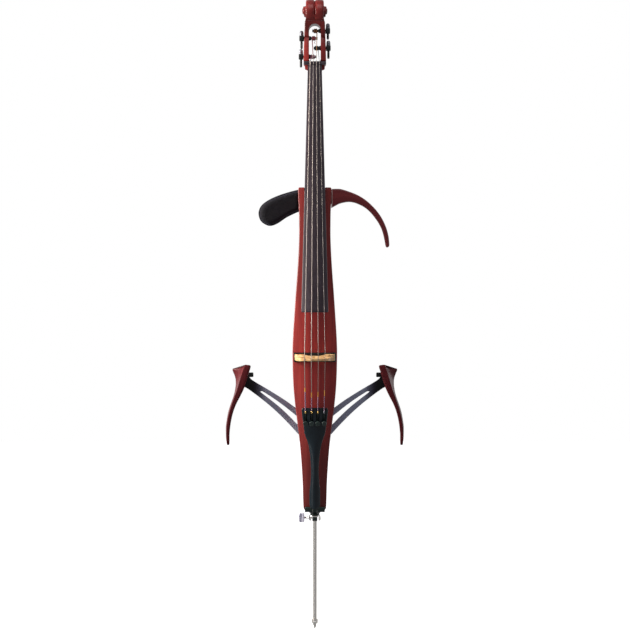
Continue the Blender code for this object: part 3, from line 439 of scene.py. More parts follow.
def mesh_from(verts, faces, grain=None):
    """A closed mesh, in metres, from points in mm, with its faces turned outward."""
    work = bmesh.new()
    layer = work.verts.layers.float_vector.new("grain") if grain is not None else None
    made = [work.verts.new((x * MM, y * MM, z * MM)) for x, y, z in verts]
    if layer:
        for vertex, value in zip(made, grain):
            vertex[layer] = value
    for face in faces:
        work.faces.new([made[i] for i in face])
    bmesh.ops.recalc_face_normals(work, faces=work.faces)
    mesh = bpy.data.meshes.new("shape")
    work.to_mesh(mesh)
    work.free()
    return mesh


def loft_mesh(rows, grain=None):
    """Skin over closed rings, with its ends filled."""
    count = len(rows[0])
    faces = []
    for i in range(len(rows) - 1):
        for j in range(count):
            k = (j + 1) % count
            faces.append((i * count + j, i * count + k, (i + 1) * count + k, (i + 1) * count + j))
    faces.append(tuple(range(count)))
    faces.append(tuple((len(rows) - 1) * count + j for j in range(count)))
    return mesh_from([p for row in rows for p in row], faces, grain)


def both_sides(half):
    """Closed ring from a half section that runs from front centre to back centre."""
    return list(half) + [(-x, y, z) for x, y, z in reversed(half[1:-1])]


def lathe_mesh(profile, origin, axis, steps=40, closed=False, ridges=None):
    """Turned shape from (radius, along) points; ridges = (first, last, number, depth)."""
    turn = Vector(axis).to_track_quat("Z", "Y").to_matrix()
    origin = Vector(origin)
    verts, rings, faces = [], [], []
    for i, (radius, along) in enumerate(profile):
        count = 1 if radius < 1e-6 else steps
        ring = []
        for s in range(count):
            angle = TAU * s / steps
            size = radius
            if ridges and ridges[0] <= i <= ridges[1]:
                size -= ridges[3] * (0.5 + 0.5 * math.cos(ridges[2] * angle))
            ring.append(len(verts))
            verts.append(tuple(origin
                + turn @ Vector((size * math.cos(angle), size * math.sin(angle), along))))
        rings.append(ring)
    pairs = list(zip(rings, rings[1:])) + ([(rings[-1], rings[0])] if closed else [])
    for lower, upper in pairs:
        for s in range(steps):
            n = (s + 1) % steps
            if len(lower) == 1 and len(upper) == 1:
                continue
            if len(lower) == 1:
                faces.append((lower[0], upper[n], upper[s]))
            elif len(upper) == 1:
                faces.append((lower[s], lower[n], upper[0]))
            else:
                faces.append((lower[s], lower[n], upper[n], upper[s]))
    if not closed:
        faces += [tuple(ring) for ring in (rings[0], rings[-1]) if len(ring) > 1]
    return mesh_from(verts, faces)


def tube_mesh(path, radii, sides=12):
    """Round bar along a path, with (turn share, 0, length) kept as its grain."""
    path = [Vector(p) for p in path]
    rows, grain, along = [], [], 0.0
    side = Vector(ACROSS)
    for i, point in enumerate(path):
        ahead = (path[min(i + 1, len(path) - 1)] - path[max(i - 1, 0)]).normalized()
        side = (side - ahead * side.dot(ahead))
        side = side.normalized() if side.length > 1e-4 else ahead.orthogonal().normalized()
        deep = ahead.cross(side)
        if i:
            along += (point - path[i - 1]).length * MM
        radius = radii[i] if isinstance(radii, (list, tuple)) else radii
        turns = [TAU * s / sides for s in range(sides)]
        rows.append([tuple(point + (side * math.cos(a) + deep * math.sin(a)) * radius) for a in turns])
        grain += [(abs(2 * s / sides - 1), 0, along) for s in range(sides)]
    return loft_mesh(rows, grain)


def box_shape(low, high):
    """Plain box, for cutters and as the start of rounded blocks."""
    (a, b, c), (d, e, f) = low, high
    verts = [(x, y, z) for z in (c, f) for y in (b, e) for x in (a, d)]
    faces = [(0, 1, 3, 2), (4, 5, 7, 6), (0, 1, 5, 4), (2, 3, 7, 6), (0, 2, 6, 4), (1, 3, 7, 5)]
    return mesh_from(verts, faces)


def modified(mesh, *changes):
    """The mesh after the given modifier set-ups, each a function of a temporary object."""
    holder = placed("holder", mesh)
    extra = [thing for change in changes for thing in (change(holder) or ())]
    result = baked(holder)
    for thing in extra:
        bpy.data.objects.remove(thing)
    return result


def rounding(width, segments):
    """Set-up of a bevel on the sharp edges."""
    def change(item):
        bevel = item.modifiers.new("round", "BEVEL")
        bevel.width = width * MM
        bevel.segments = segments
        bevel.limit_method = "ANGLE"
        bevel.angle_limit = math.radians(35)
    return change


def boolean(operation, *meshes):
    """Set-up of exact cuts or joins with other meshes."""
    def change(item):
        others = []
        for mesh in meshes:
            other = placed("other", mesh)
            step = item.modifiers.new("with", "BOOLEAN")
            step.operation, step.solver, step.object = operation, "EXACT", other
            others.append(other)
        return others
    return change


def carved(mesh, *cutters):
    """The mesh with other shapes cut out of it."""
    return modified(mesh, boolean("DIFFERENCE", *cutters))


def block_mesh(low, high, width, segments=3):
    """Box with rounded edges."""
    return modified(box_shape(low, high), rounding(width, segments))


def rod_shape(start, end, radius, steps=32):
    """Plain round bar between two points."""
    start, end = Vector(start), Vector(end)
    return lathe_mesh([(radius, 0), (radius, (end - start).length)], start, end - start, steps)


def cleaned(mesh, reach=None):
    """Turns the faces outward, after merging points within reach."""
    work = bmesh.new()
    work.from_mesh(mesh)
    if reach:
        bmesh.ops.remove_doubles(work, verts=work.verts, dist=reach)
    bmesh.ops.recalc_face_normals(work, faces=work.faces)
    work.to_mesh(mesh)
    work.free()


def plate_mesh(loops, low, high, edge, segments=2):
    """Flat piece with X, Z outlines between two depths, its edges rounded."""
    curve = bpy.data.curves.new("plate", "CURVE")
    curve.dimensions = "2D"
    curve.fill_mode = "BOTH"
    curve.bevel_depth = edge
    curve.bevel_resolution = segments
    curve.offset = -edge
    curve.extrude = (high - low) / 2 - edge
    for loop in loops:
        spline = curve.splines.new("POLY")
        spline.points.add(len(loop) - 1)
        for point, (x, z) in zip(spline.points, loop):
            point.co = (x, z, 0, 1)
        spline.use_cyclic_u = True
    mesh = baked(placed("plate", curve))
    cleaned(mesh, 0.0005)
    standing = Matrix.Translation((0, (low + high) / 2, 0)) @ Matrix.Rotation(math.pi / 2, 4, "X")
    mesh.transform(Matrix.Scale(MM, 4) @ standing)
    return mesh


def circle(x, z, radius, count=32):
    """Points round a circle in X and Z."""
    return [(x + radius * math.cos(TAU * i / count), z + radius * math.sin(TAU * i / count))
        for i in range(count)]


def flipped(loop):
    """The same outline on the other side."""
    return [(-x, z) for x, z in loop]


def moved(mesh, place):
    """The mesh moved by a matrix in millimetres."""
    mesh.transform(Matrix.Scale(MM, 4) @ place @ Matrix.Scale(1 / MM, 4))
    return mesh


def through(x, z, low, high, radius, steps=32):
    """Round bar from front to back."""
    return rod_shape((x, low, z), (x, high, z), radius, steps)


def upright(x, y, low, high, radius, steps=32):
    """Round bar from below upward."""
    return rod_shape((x, y, low), (x, y, high), radius, steps)


def screw_head(centre, outward, radius):
    """Domed screw head with a cross recess."""
    height = 1.6
    profile = [(0, height), (radius * 0.5, height * 0.92), (radius * 0.85, height * 0.62), (radius, 0.2),
        (radius, -1), (0, -1)]
    head = lathe_mesh(profile, centre, outward, 28)
    place = Matrix.Translation(centre) @ Vector(outward).to_track_quat("Z", "Y").to_matrix().to_4x4()
    sizes = ((radius * 0.55, radius * 0.14), (radius * 0.14, radius * 0.55))
    cuts = [box_shape((-across, -along, height * 0.25), (across, along, height + 2))
        for across, along in sizes]
    return carved(head, *(moved(cut, place) for cut in cuts))


# --- body and what is let into it
def body_section(z, half, front):
    """Half ring: arched front, fine crease and chamfer at its edge, sides, flat back."""
    rise = ARCH_SHARE * half
    inner = half - 3.2
    ring = [(inner * t, front + 0.86 * rise * t * t, z)
        for t in (0, 0.08, 0.17, 0.27, 0.37, 0.47, 0.57, 0.66, 0.75, 0.83, 0.90, 0.96, 1)]
    edge = ring[-1][1]
    ring += [(half - 2.95, edge + 0.45, z), (half - 2.6, edge + 0.35, z), (half - 1.6, edge + 0.75, z),
        (half - 0.6, edge + 1.6, z), (half - 0.12, edge + 2.7, z), (half, edge + 4.2, z), (half, 2, z),
        (half, BACK - 6, z), (half - 0.35, BACK - 3.6, z), (half - 1.3, BACK - 1.6, z),
        (half - 3, BACK - 0.4, z), (half - 5.6, BACK, z), (half * 0.5, BACK, z), (0, BACK, z)]
    return ring


def body():
    """Lacquered body with its seats, bores and pockets."""
    heights = [s[0] for s in BODY_STATIONS]
    half, front = curves_of(BODY_STATIONS)
    levels = sorted(set(heights[:4] + heights[-3:] + [286, 294, 1038.4, 1041.4]
        + list(np.linspace(300, 1036, 118))))
    shell = loft_mesh([both_sides(body_section(z, half(z), front(z))) for z in levels])
    cuts = [box_shape((-25, -60, 1000), (25, -3.7, 1050)),
        box_shape((-49.9, -60, 631.7), (49.9, -14, 653.8)),
        box_shape((-23.8, -45, 270), (23.8, -17, 291.3)), upright(0, 0, 270, 331, 9.3),
        upright(0, 0, 320, 575, 6.5), block_mesh((-40, 24, 592), (40, 40, 728), 1),
        box_shape((-34, 2, 600), (34, 30, 720)), block_mesh((-24, 25, 740), (24, 40, 810), 0.8),
        box_shape((-15, 5, 748), (15, 30, 802)), box_shape((16, 2, 1004), (60, 18, 1030)),
        through(*FRAME_SCREW, 10, 40, BOLT_HOLE), through(*CHEST_PIVOT, 9, 40, BOLT_HOLE)]
    cuts += [through(side * ARM_PIVOT[0], ARM_PIVOT[1], 9, 40, BOLT_HOLE) for side in (1, -1)]
    piece("body_wood", carved(shell, *cuts), RED_WOOD, "body", ["body_shell"])


def back_fittings():
    """Cover plate, its screws, sockets, volume knob and battery door on the flat back."""
    plate = block_mesh((-39.7, 24.3, 592.3), (39.7, BACK, 727.7), 1)
    cuts = [through(0, VOLUME_Z, 20, 32, 3.4), through(-JACK_X, JACK_Z, 20, 32, 6),
        through(JACK_X, JACK_Z, 20, 32, 4.3), block_mesh((-36.5, 27.4, 610.5), (36.5, 32, 724.5), 0.3)]
    island = carved(through(0, VOLUME_Z, 27, BACK, 14, 48), through(0, VOLUME_Z, 20, 32, 3.4))
    plate = modified(plate, boolean("DIFFERENCE", *cuts), boolean("UNION", island))
    piece("cover_plate", plate, BLACK, "body", ["back_cover"])
    for i, (x, z) in enumerate(((-34, 601), (34, 601), (-33.5, 719), (33.5, 719))):
        piece("cover_screw_%d" % (i + 1), screw_head((x, 27.6 if z < 610 else 27.2, z), OUT, 3), NICKEL,
            "body")
    knob = [(0, 14), (5.8, 14), (6.9, 13.6), (7.6, 12.6), (8.1, 11.6), (8.2, 3.2), (7.8, 2.3), (3, 2),
        (3, -14), (0, -14)]
    mark = box_shape((-0.4, BACK + 13.2, 701.5), (0.4, BACK + 14.6, 706))
    shape = carved(lathe_mesh(knob, (0, BACK, VOLUME_Z), OUT, 96, ridges=(4, 5, 24, 0.5)), mark)
    piece("volume_dial", shape, BLACK, "volume", ["volume_knob"])
    for name, x, barrel, bore in (("output_jack", -JACK_X, 5.6, 3.3), ("phones_jack", JACK_X, 3.9, 1.9)):
        threads = [(barrel - (0 if i % 2 else 0.25), 0.2 - i * 0.5) for i in range(36)]
        profile = [(bore, 2.2), (bore + 0.4, 2.6), (barrel + 1.5, 2.6), (barrel + 2, 2.2),
            (barrel + 2, 0.35), *threads, (barrel, -18), (bore, -18)]
        piece(name + "_nut", lathe_mesh(profile, (x, BACK, JACK_Z), OUT, 48, True, (2, 4, 12, 0.35)),
            CHROME, "body", [name])
    door = block_mesh((-23.7, 25.3, 740.3), (23.7, BACK, 809.7), 0.6)
    ribs = [box_shape((-9, 27.5, z), (9, 30, z + 1)) for z in (796, 799, 802, 805)]
    piece("battery_lid_cover", carved(door, *ribs), BLACK, "battery_lid", ["battery_door"])
    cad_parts["circuit_board"].data.materials[0] = LAMINATE
    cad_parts["battery"].data.materials[0] = TRAY


# --- neck, scroll, fingerboard, nut
def board_share(z):
    """How far down the fingerboard a height is, from 0 at the nut to 1 at its end."""
    return (BOARD_TOP - z) / (BOARD_TOP - BOARD_END)


def board_half(z):
    """Half the width of the fingerboard."""
    return 16.4 + board_share(z) * 15.1


def board_face(z):
    """Depth of the crest of the fingerboard."""
    return -21.5 - board_share(z) * 69.0


def board_seat(z):
    """Depth of the flat underside of the fingerboard."""
    return board_face(z) + 9 + board_share(z) * 4.0


def neck_section(z, back, half, front, square):
    """Half ring that runs from the round back of the neck to the square pegbox."""
    deep = back - front
    round_ring = [(0, 0), (0.5, 0), (0.96, 0), (1, 0.05), (1, 0.12), (0.985, 0.32), (0.93, 0.52),
        (0.82, 0.71), (0.66, 0.86), (0.45, 0.955), (0.22, 0.99), (0, 1)]
    box_ring = [(0, 0), (0.5, 0), (0.95, 0), (0.985, 0.012), (1, 0.045), (1, 0.32), (1, 0.62), (0.99, 0.86),
        (0.955, 0.965), (0.87, 0.995), (0.45, 1), (0, 1)]
    return [(half * (a[0] + (b[0] - a[0]) * square), front + deep * (a[1] + (b[1] - a[1]) * square), z)
        for a, b in zip(round_ring, box_ring)]


def neck_mesh():
    """Neck, collar, pegbox and the throat below the scroll."""
    z_marks = (1000.3, 1042, 1055, 1072, 1100, 1180, 1260, 1312, 1319)
    back = pchip(z_marks, (-4, -4, -6.5, -13, -18, -10.5, -2.5, 4, 6.5))
    rows = [neck_section(z, back(z), min(board_half(z) - 0.4, 24.6), board_seat(z), 0)
        for z in (1000.3, 1020, 1042, 1048, 1055, 1063, 1072, 1080, 1090, 1100, 1120, 1140, 1160, 1180,
        1200, 1220, 1240, 1260, 1280, 1300, 1312, 1317.5)]
    for z, half, front, rear, square in ((1319.5, 20.6, -13.2, 8, 0.3), (1320.6, 22.6, -13.1, 10.5, 0.6),
            (1322.4, 23.4, -13, 13.6, 0.9), (1326, 23.6, -12.6, 18.5, 1), (1329.6, 23.5, -12.2, 22, 1),
            (1330.3, 24.2, -12.2, 22.6, 1), (1331.4, 26.2, -12.2, 23.6, 1), (1335, 26.7, -12.2, 25.4, 1),
            (1339.2, 26.6, -12.2, 27, 1), (1340, 26.6, -15.6, 27.4, 1), (1341.5, 26.6, -17, 28, 1),
            (1352, 26.3, -17.3, 29.2, 1), (1365, 26, -17.2, 30, 1), (1375, 25.7, -16.6, 30, 1),
            (1384, 25.4, -15.6, 30.2, 1), (1392, 25.2, -14.1, 30, 1), (1398.4, 25, -12.6, 30, 1),
            (1399.2, 24.9, -18.9, 30, 1), (1407, 24.7, -20.4, 29.5, 1), (1415, 24.4, -22.2, 28.5, 1),
            (1422, 24.2, -24.2, 26.6, 1), (1428, 24, -25.6, 24, 1), (1431.6, 23.6, -25.4, 21.5, 1),
            (1433.2, 23, -23.8, 20, 1), (1434.4, 22.6, -23.6, 19, 1), (1435.8, 22.2, -25.2, 18, 1),
            (1441, 21.2, -26.2, 15, 1), (1448, 19.8, -27.3, 10, 1)):
        rows.append(neck_section(z, rear, half, front, square))
    return loft_mesh([both_sides(row) for row in rows])


def scroll_mesh():
    """Round block with two lobes in front and a stepped spiral eye on each side."""
    steps, growth = 128, 0.52
    across = [0, 0.5, 1.1, 1.9, 3.2, 5, 8, 11, 14, 17, 19, 20.2]
    lobe = [23.2, 23.6, 24.6, 25.5, 26.3, 26.7, 26.9, 26.9, 26.7, 26.3, 25.7, 25]
    radii = [24.4 - 0.65 * i for i in range(36)]
    climb = pchip((-1, 0, 1.55, 2, 2.5, 3.5, 7), (0, 0.2, 0.8, 4.6, 7, 8.8, 9.2))
    rows = []

    def side_height(radius, angle):
        turn = angle / TAU
        place = math.log(radius / 31) / math.log(growth) - turn
        level, part = math.floor(place), place - math.floor(place)
        step = min(part / 0.24, 1)
        step = step * step * (3 - 2 * step)
        hollow = 0.8 * math.sin(math.pi * max(part - 0.24, 0) / 0.76) * min(1, radius / 6)
        return 20.6 + climb(level + step + turn) - hollow

    for side in (1, -1):
        for k, (x, r) in enumerate(zip(across, lobe)):
            if side < 0 and k == 0:
                continue
            rows.append((side, [(side * x, r)] * steps))
        for r in radii:
            rows.append((side, [(side * max(side_height(r, TAU * s / steps), 20.3), r)
                for s in range(steps)]))
    right = [row for sign, row in rows if sign > 0]
    left = [row for sign, row in rows if sign < 0]
    ordered = list(reversed(left)) + right
    turns = [TAU * s / steps for s in range(steps)]
    return loft_mesh([[(x, SCROLL_Y - r * math.sin(angle), SCROLL_Z - r * math.cos(angle))
        for angle, (x, r) in zip(turns, row)] for row in ordered])


def slot_outline():
    """Peg slot: straight sides, round top, eased lower corners."""
    arch = [(SLOT_HALF * math.cos(a), 1412.7 + SLOT_HALF * math.sin(a))
        for a in np.linspace(0, math.pi, 25)]
    foot = [(10, 1339.6), (12.8, 1340.8), (SLOT_HALF, 1343.5)]
    return arch + flipped(foot[::-1]) + foot


def neck_and_scroll():
    """One length of lacquered wood from the heel to the scroll."""
    shape = modified(neck_mesh(), boolean("UNION", scroll_mesh()))
    holes = [rod_shape((side * 10, POST_Y, height), (side * 40, POST_Y, height), 3.4)
        for side, height, _, _ in TUNERS.values()]
    slot = plate_mesh([slot_outline()], -60, 60, 0.01, 0)
    groove = rod_shape((0, -26.4, 1436.4), (0, -30.6, 1455), 1.5, 8)
    shape = carved(shape, slot, groove, *holes)
    piece("neck_wood", shape, DARK_WOOD, "body", ["neck_and_scroll"], 34)


def fingerboard():
    """Arched ebony board."""
    rows = []
    for z in [748, 748.4, 749.4, 751.5] + list(np.linspace(760, 1326, 50)) + [1329.6, 1330.2]:
        ease = max(0, 1 - (z - 748) / 3.5) ** 2 * 1.6
        half, top, seat = board_half(z) - ease, board_face(z) + ease, board_seat(z) - 0.3
        crest = [(share * half, top + (share * half) ** 2 / (2 * BOARD_RADIUS), z)
            for share in (0, 0.12, 0.24, 0.36, 0.48, 0.6, 0.71, 0.81, 0.89, 0.95, 0.98)]
        edge = crest[-1][1]
        rows.append(crest + [(half - 0.12, edge + 0.6, z), (half, edge + 1.5, z), (half, seat - 1, z),
            (half - 0.3, seat - 0.3, z), (half - 1, seat, z), (half * 0.5, seat, z), (0, seat, z)])
    piece("board_ebony", loft_mesh([both_sides(row) for row in rows]), EBONY, "body", ["fingerboard"])


def nut():
    """Ebony nut with a rounded crown and a groove for each string."""
    shape = block_mesh((-26.4, NUT_FACE, NUT_LOW), (26.4, -12.5, NUT_HIGH), 1.6, 4)
    grooves = [upright(x, NUT_FACE - GAP - radius * 0.6, 1325, 1345, radius + 0.25, 16)
        for _, radius, _, _, x, _ in STRINGS]
    piece("nut_ebony", carved(shape, *grooves), EBONY, "body", ["nut"])


# --- bridge and pickup
def bridge():
    """Carved maple bridge on its pickup strip and moulded bed."""
    right = [(0, 17), (9, 16), (17, 12), (22, 6), (23.5, 0.6), (24.1, 0), (46.4, 0), (47, 0.6), (46.6, 4.6),
        (40, 8.5), (33.5, 13), (29.5, 20), (29.5, 27), (34, 31), (41.5, 33.5), (43, 39), (38, 46), (35, 56),
        (32, 70)]
    crown = [(24, 73.4), (16, 76.4), (8, 78.4), (0, 79)]
    legs = flow(right[:4], 12)[:-1] + right[3:8] + flow(right[8:], 34)[1:]
    half = legs + flow([legs[-1], *crown], 12)[1:]
    outline = half + flipped(half[-2:0:-1])
    lobe = [(5.5, 38), (7.4, 42.5), (5.6, 46), (2.4, 46)]
    heart = [(0, 33), *lobe, (0, 43.6), *flipped(lobe[::-1])]
    kidney = flow([(19.5, 41), (24, 38.6), (28.6, 41.5), (28, 47), (23.5, 49.6), (19.4, 47)], 24, True)
    eye = circle(0, 56, 3.2, 20)
    mesh = plate_mesh([outline, flow(heart, 40, True), kidney, flipped(kidney), eye], -6.2, 6.2, 0.5)
    for vertex in mesh.vertices:
        x, y, z = (c / MM for c in vertex.co)
        thick = 15.3 - 3.7 * min(max(z, 0) / 17, 1) - 6.6 * max(0, (z - 17) / 62)
        vertex.co = Vector((x, BRIDGE_FOOT - z, BRIDGE_BACK + (y + 6.2) / 12.4 * thick)) * MM
    notches = [upright(x, BRIDGE_FOOT - crown_y - 0.1, 625, 655, radius + 0.05, 12)
        for _, radius, _, x, _, crown_y in STRINGS]
    cleaned(mesh)
    piece("bridge_maple", carved(mesh, *notches), MAPLE, "body", ["bridge"], 42)
    tray = block_mesh((-49.6, -31, 632), (49.6, -14.3, 653.5), 1.6)
    piece("bridge_tray", carved(tray, block_mesh((-47.9, -40, 634.1), (47.9, -30.6, 651), 1)), TRAY, "body",
        ["bridge_bed"])
    strip = block_mesh((-47.5, -32.5, 634.5), (47.5, -31, 650.6), 0.5)
    grooves = [box_shape((x - 0.25, -33, 634), (x + 0.25, -32.3, 652)) for x in (-12, -4, 4, 12)]
    piece("pickup_strip", carved(strip, *grooves), TRAY, "body", ["bridge_pickup"])


# --- tuning machines
def cheek(z):
    """Half the width of the pegbox."""
    return 24 + (1428 - z) / 86 * 2.6


def tuner(label):
    """Housing with its plated cap, cross post, bushing, worm shaft and paddle."""
    side, height, tip, paddle = TUNERS[label]
    inner = cheek(height - 6) + GAP
    axis_x = inner + 5.8
    left, right = sorted((side * inner, side * (inner + 11.2)))
    housing = block_mesh((left, -13.2, height - 6), (right, 4.2, height + 6), 1.8, 4)
    cuts = [rod_shape((side * (inner - 5), POST_Y, height), (side * (inner + 8.8), POST_Y, height), 4.4),
        upright(side * axis_x, WORM_Y, height - 10, height + 5.2, 2.5)]
    piece("tuner_case_" + label, carved(housing, *cuts), BLACK, "body", ["tuner_housing_" + label])
    base = (side * axis_x, WORM_Y, height + 6)
    dome = [(0, 12.5), (1.3, 12.35), (2.5, 11.9), (3.5, 11), (4.2, 9.6), (4.7, 6.6), (4.75, 4.9),
        (4.3, 4.6), (4.3, 4.1), (4.8, 3.8), (4.9, 0.4), (4.6, 0.05), (0, 0.05)]
    piece("tuner_cap_" + label, lathe_mesh(dome, base, UP, 40), NICKEL, "body")
    collar = [(3.5, 0.1), (4.5, 0.1), (4.8, 0.5), (4.8, 3.4), (5.6, 3.7), (5.8, 4.1), (5.8, 5.2),
        (5.4, 5.6), (3.5, 5.6)]
    piece("post_bushing_" + label,
        lathe_mesh(collar, (side * (SLOT_HALF - 5.5), POST_Y, height), (side, 0, 0), 36, True), BLACK,
        "body")
    reach = abs(side * (inner + 8.4) - tip)
    profile = [(0, reach), (3.6, reach), (4, reach - 0.4), (4, reach - 5.6), (3.6, reach - 6),
        (POST_RADIUS, reach - 6.5), (POST_RADIUS, 1.4), (3.3, 1.1), (3.6, 0.8), (3.6, 0.3), (3.3, 0),
        (0, 0)]
    post = lathe_mesh(profile, (tip, POST_Y, height), (side, 0, 0), 36, ridges=(1, 4, 12, 0.5))
    eye = through(tip + side * 3.5, height, POST_Y - 6, POST_Y + 6, 0.7, 16)
    piece("post_shaft_" + label, carved(post, eye), DARK_METAL, "post_" + label, ["tuner_post_" + label])
    shaft = [(0, 4.8), (1.9, 4.8), (2.2, 4.5), (2.2, -6), (2.9, -6.4), (2.9, -7.6), (2.2, -8), (2.2, -9.5),
        (0, -9.5)]
    middle = height - 6.6 - paddle / 2
    rows = []
    for share in np.linspace(-1, 1, 21):
        wide = 4.8 * math.sqrt(max(1 - share * share, 0)) ** 0.8 + 0.05
        thick = 1.6 + 1.6 * max(1 - share * share, 0) ** 0.5 - 0.4 * math.exp(-(share * 2.2) ** 2)
        rows.append([(side * axis_x + thick * math.cos(a), WORM_Y + wide * math.sin(a),
            middle + share * paddle / 2) for a in np.linspace(0, TAU, 24, endpoint=False)])
    key = modified(lathe_mesh(shaft, (side * axis_x, WORM_Y, height), UP, 28),
        boolean("UNION", loft_mesh(rows)))
    piece("key_paddle_" + label, key, BLACK, "key_" + label, ["tuner_key_" + label])


# --- tailpiece and fine tuners
def tail_matrix():
    """Frame of the tailpiece: its own Z runs up its length and -Y faces out."""
    return Matrix.Translation(TAIL_FOOT) @ Matrix.Rotation(TAIL_TILT, 4, "X")


def tail_point(x, along, out):
    """Place on the tailpiece, in the frame of the whole object."""
    return tail_matrix() @ Vector((x, -out, along))


def on_tail(mesh):
    """Moves a mesh made in tailpiece coordinates to its place."""
    return moved(mesh, tail_matrix())


def tailpiece():
    """Waisted tailpiece with slots for the levers and seats for their screws."""
    # distance from the foot, half width, thickness
    marks = ((0, 5, 6), (2.5, 9.5, 7), (9, 12.6, 7.5), (38, 12.6, 7.5), (62, 10.4, 7.5), (86, 9, 8),
        (115, 10.2, 8.5), (143, 13.5, 9), (160, 17.5, 10), (177, 23.5, 11), (198, 26.8, 11.5),
        (222, 29.8, 11.5), (235, 31, 11), (TAIL_LENGTH, 28.5, 9))
    half, thick = curves_of(marks)
    rows = []
    for along in [0, 0.5, 1.2, 2.5, 4.5, 7] + list(np.linspace(10, 233, 75)) + [235, 236.6, 237.8,
            238.6, TAIL_LENGTH]:
        h, t = half(along), thick(along)
        drop = (0.12 + 0.24 * min(max((180 - along) / 60, 0), 1)) * h
        ring = [(s * (h - 1.5), drop * s * s, along) for s in (0, 0.15, 0.3, 0.45, 0.6, 0.75, 0.88, 1)]
        ring += [(h - 0.7, drop + 0.35, along), (h - 0.15, drop + 1, along), (h, drop + 1.8, along),
            (h - 0.5, drop + 3.2, along), (0.82 * h, t - 2.2, along), (0.5 * h, t - 0.8, along),
            (0, t, along)]
        rows.append(both_sides(ring))
    shape = loft_mesh(rows)
    cuts = []
    for _, _, x, _, _, _ in STRINGS:
        cuts.append(block_mesh((x - 3.6, -5, 207.5), (x + 3.6, 7.4, 252), 0.5, 2))
        cuts.append(through(x, SCREW_ALONG, -6, 8.2, 1.9, 24))
    cuts.append(rod_shape((-26.6, 4.6, LEVER_PIVOT), (26.6, 4.6, LEVER_PIVOT), 1.4, 20))
    piece("tailpiece_body", on_tail(carved(shape, *cuts)), TAIL, "body", ["tailpiece"])


def fine_tuner(label, x):
    """Bent lever with a string hook, and its knurled screw."""
    outline = [(2.6, 208.1), (5, 208.1), (5.4, 210), (5.4, 235), (3, 235), (2.2, 233.2), (-0.2, 233.2),
        (-0.2, 226.8), (1, 226), (2.2, 223.6), (2.2, 209)]
    rows = [[(x + off, y, z) for y, z in outline] for off in (-2.2, 2.2)]
    lever = modified(loft_mesh(rows), rounding(0.45, 2))
    pin = lathe_mesh([(0, 0), (0.85, 0), (1.05, 0.2), (1.05, 9), (0.85, 9.2), (0, 9.2)],
        (x - 4.6, 4.6, LEVER_PIVOT), ACROSS, 20)
    slot = box_shape((x - 0.7, -1, 225.6), (x + 0.7, 1.2, 236))
    shape = modified(lever, boolean("UNION", pin), boolean("DIFFERENCE", slot))
    piece("lever_arm_" + label, on_tail(shape), GREEN, "lever_" + label, ["fine_lever_" + label])
    threads = [(1.6 - (0 if i % 2 else 0.28), 3.6 - i * 0.45) for i in range(23)]
    profile = [(0, 12.2), (3, 12.5), (4.6, 12.5), (5.6, 11.8), (6, 11.2), (6, 5.8), (5.6, 5.2), (4.8, 4.3),
        (2.4, 4.2), *threads, (1.2, -6.8), (0, -6.8)]
    out = (tail_matrix().to_3x3() @ Vector((0, -1, 0))).normalized()
    piece("fine_screw_head_" + label,
        lathe_mesh(profile, tail_point(x, SCREW_ALONG, 0), out, 80, ridges=(4, 5, 20, 0.55)), SCREW_BLACK,
        "screw_" + label, ["fine_screw_" + label])


def tail_cord():
    """Nylon loop over the saddle and round the endpin plug."""
    right = [(5, -50.5, 286.4), (5.2, -42, 281.5), (6, -36.5, 277.4), (8.5, -20, 276.6)]
    for angle in (-40, -10, 20, 55, 90):
        right.append((11.6 * math.cos(math.radians(angle)), 11.6 * math.sin(math.radians(angle)), 276.5))
    path = flow(right + [(-x, y, z) for x, y, z in reversed(right[:-1])], 110)
    piece("tail_loop", tube_mesh(path, 1.5, 14), CORD, "body", ["tail_cord"])


def saddle():
    """Ebony saddle with a shallow bed for the cord."""
    shape = block_mesh((-23.5, -36.5, 279.6), (23.5, -17.3, 291), 1.6, 4)
    beds = [rod_shape((x, -45, 276.4), (x, -30, 278.6), 2.4, 20) for x in (-5.4, 5.4)]
    piece("saddle_block", carved(shape, *beds), GREEN, "body", ["saddle"])


# --- strings
SILK_TOP = {"c": ("a0516c", "c98f9e"), "g": ("6a1420", "8e2430"), "d": ("7a4a22", "b07a3c"),
    "a": ("15151a", "2a2a33")}
# X of the middle of the winding on each post
WINDING_CENTRE = {"c": -4.6, "g": -2.4, "d": 1.2, "a": 3.4}
# where the gold wrapping starts and ends, as shares of the way from the ball to the bridge
WRAP_SHARE = {"c": (0.37, 0.45), "g": (0.26, 0.36), "d": (0.27, 0.37), "a": (0.285, 0.40)}
SILK_LOW = silk("lower_silk", "3b2548", "d0a9c0", 250)
GOLD_WRAP = wound_string("gold_wrap", "cf8f3c", "f4c06c", 900)


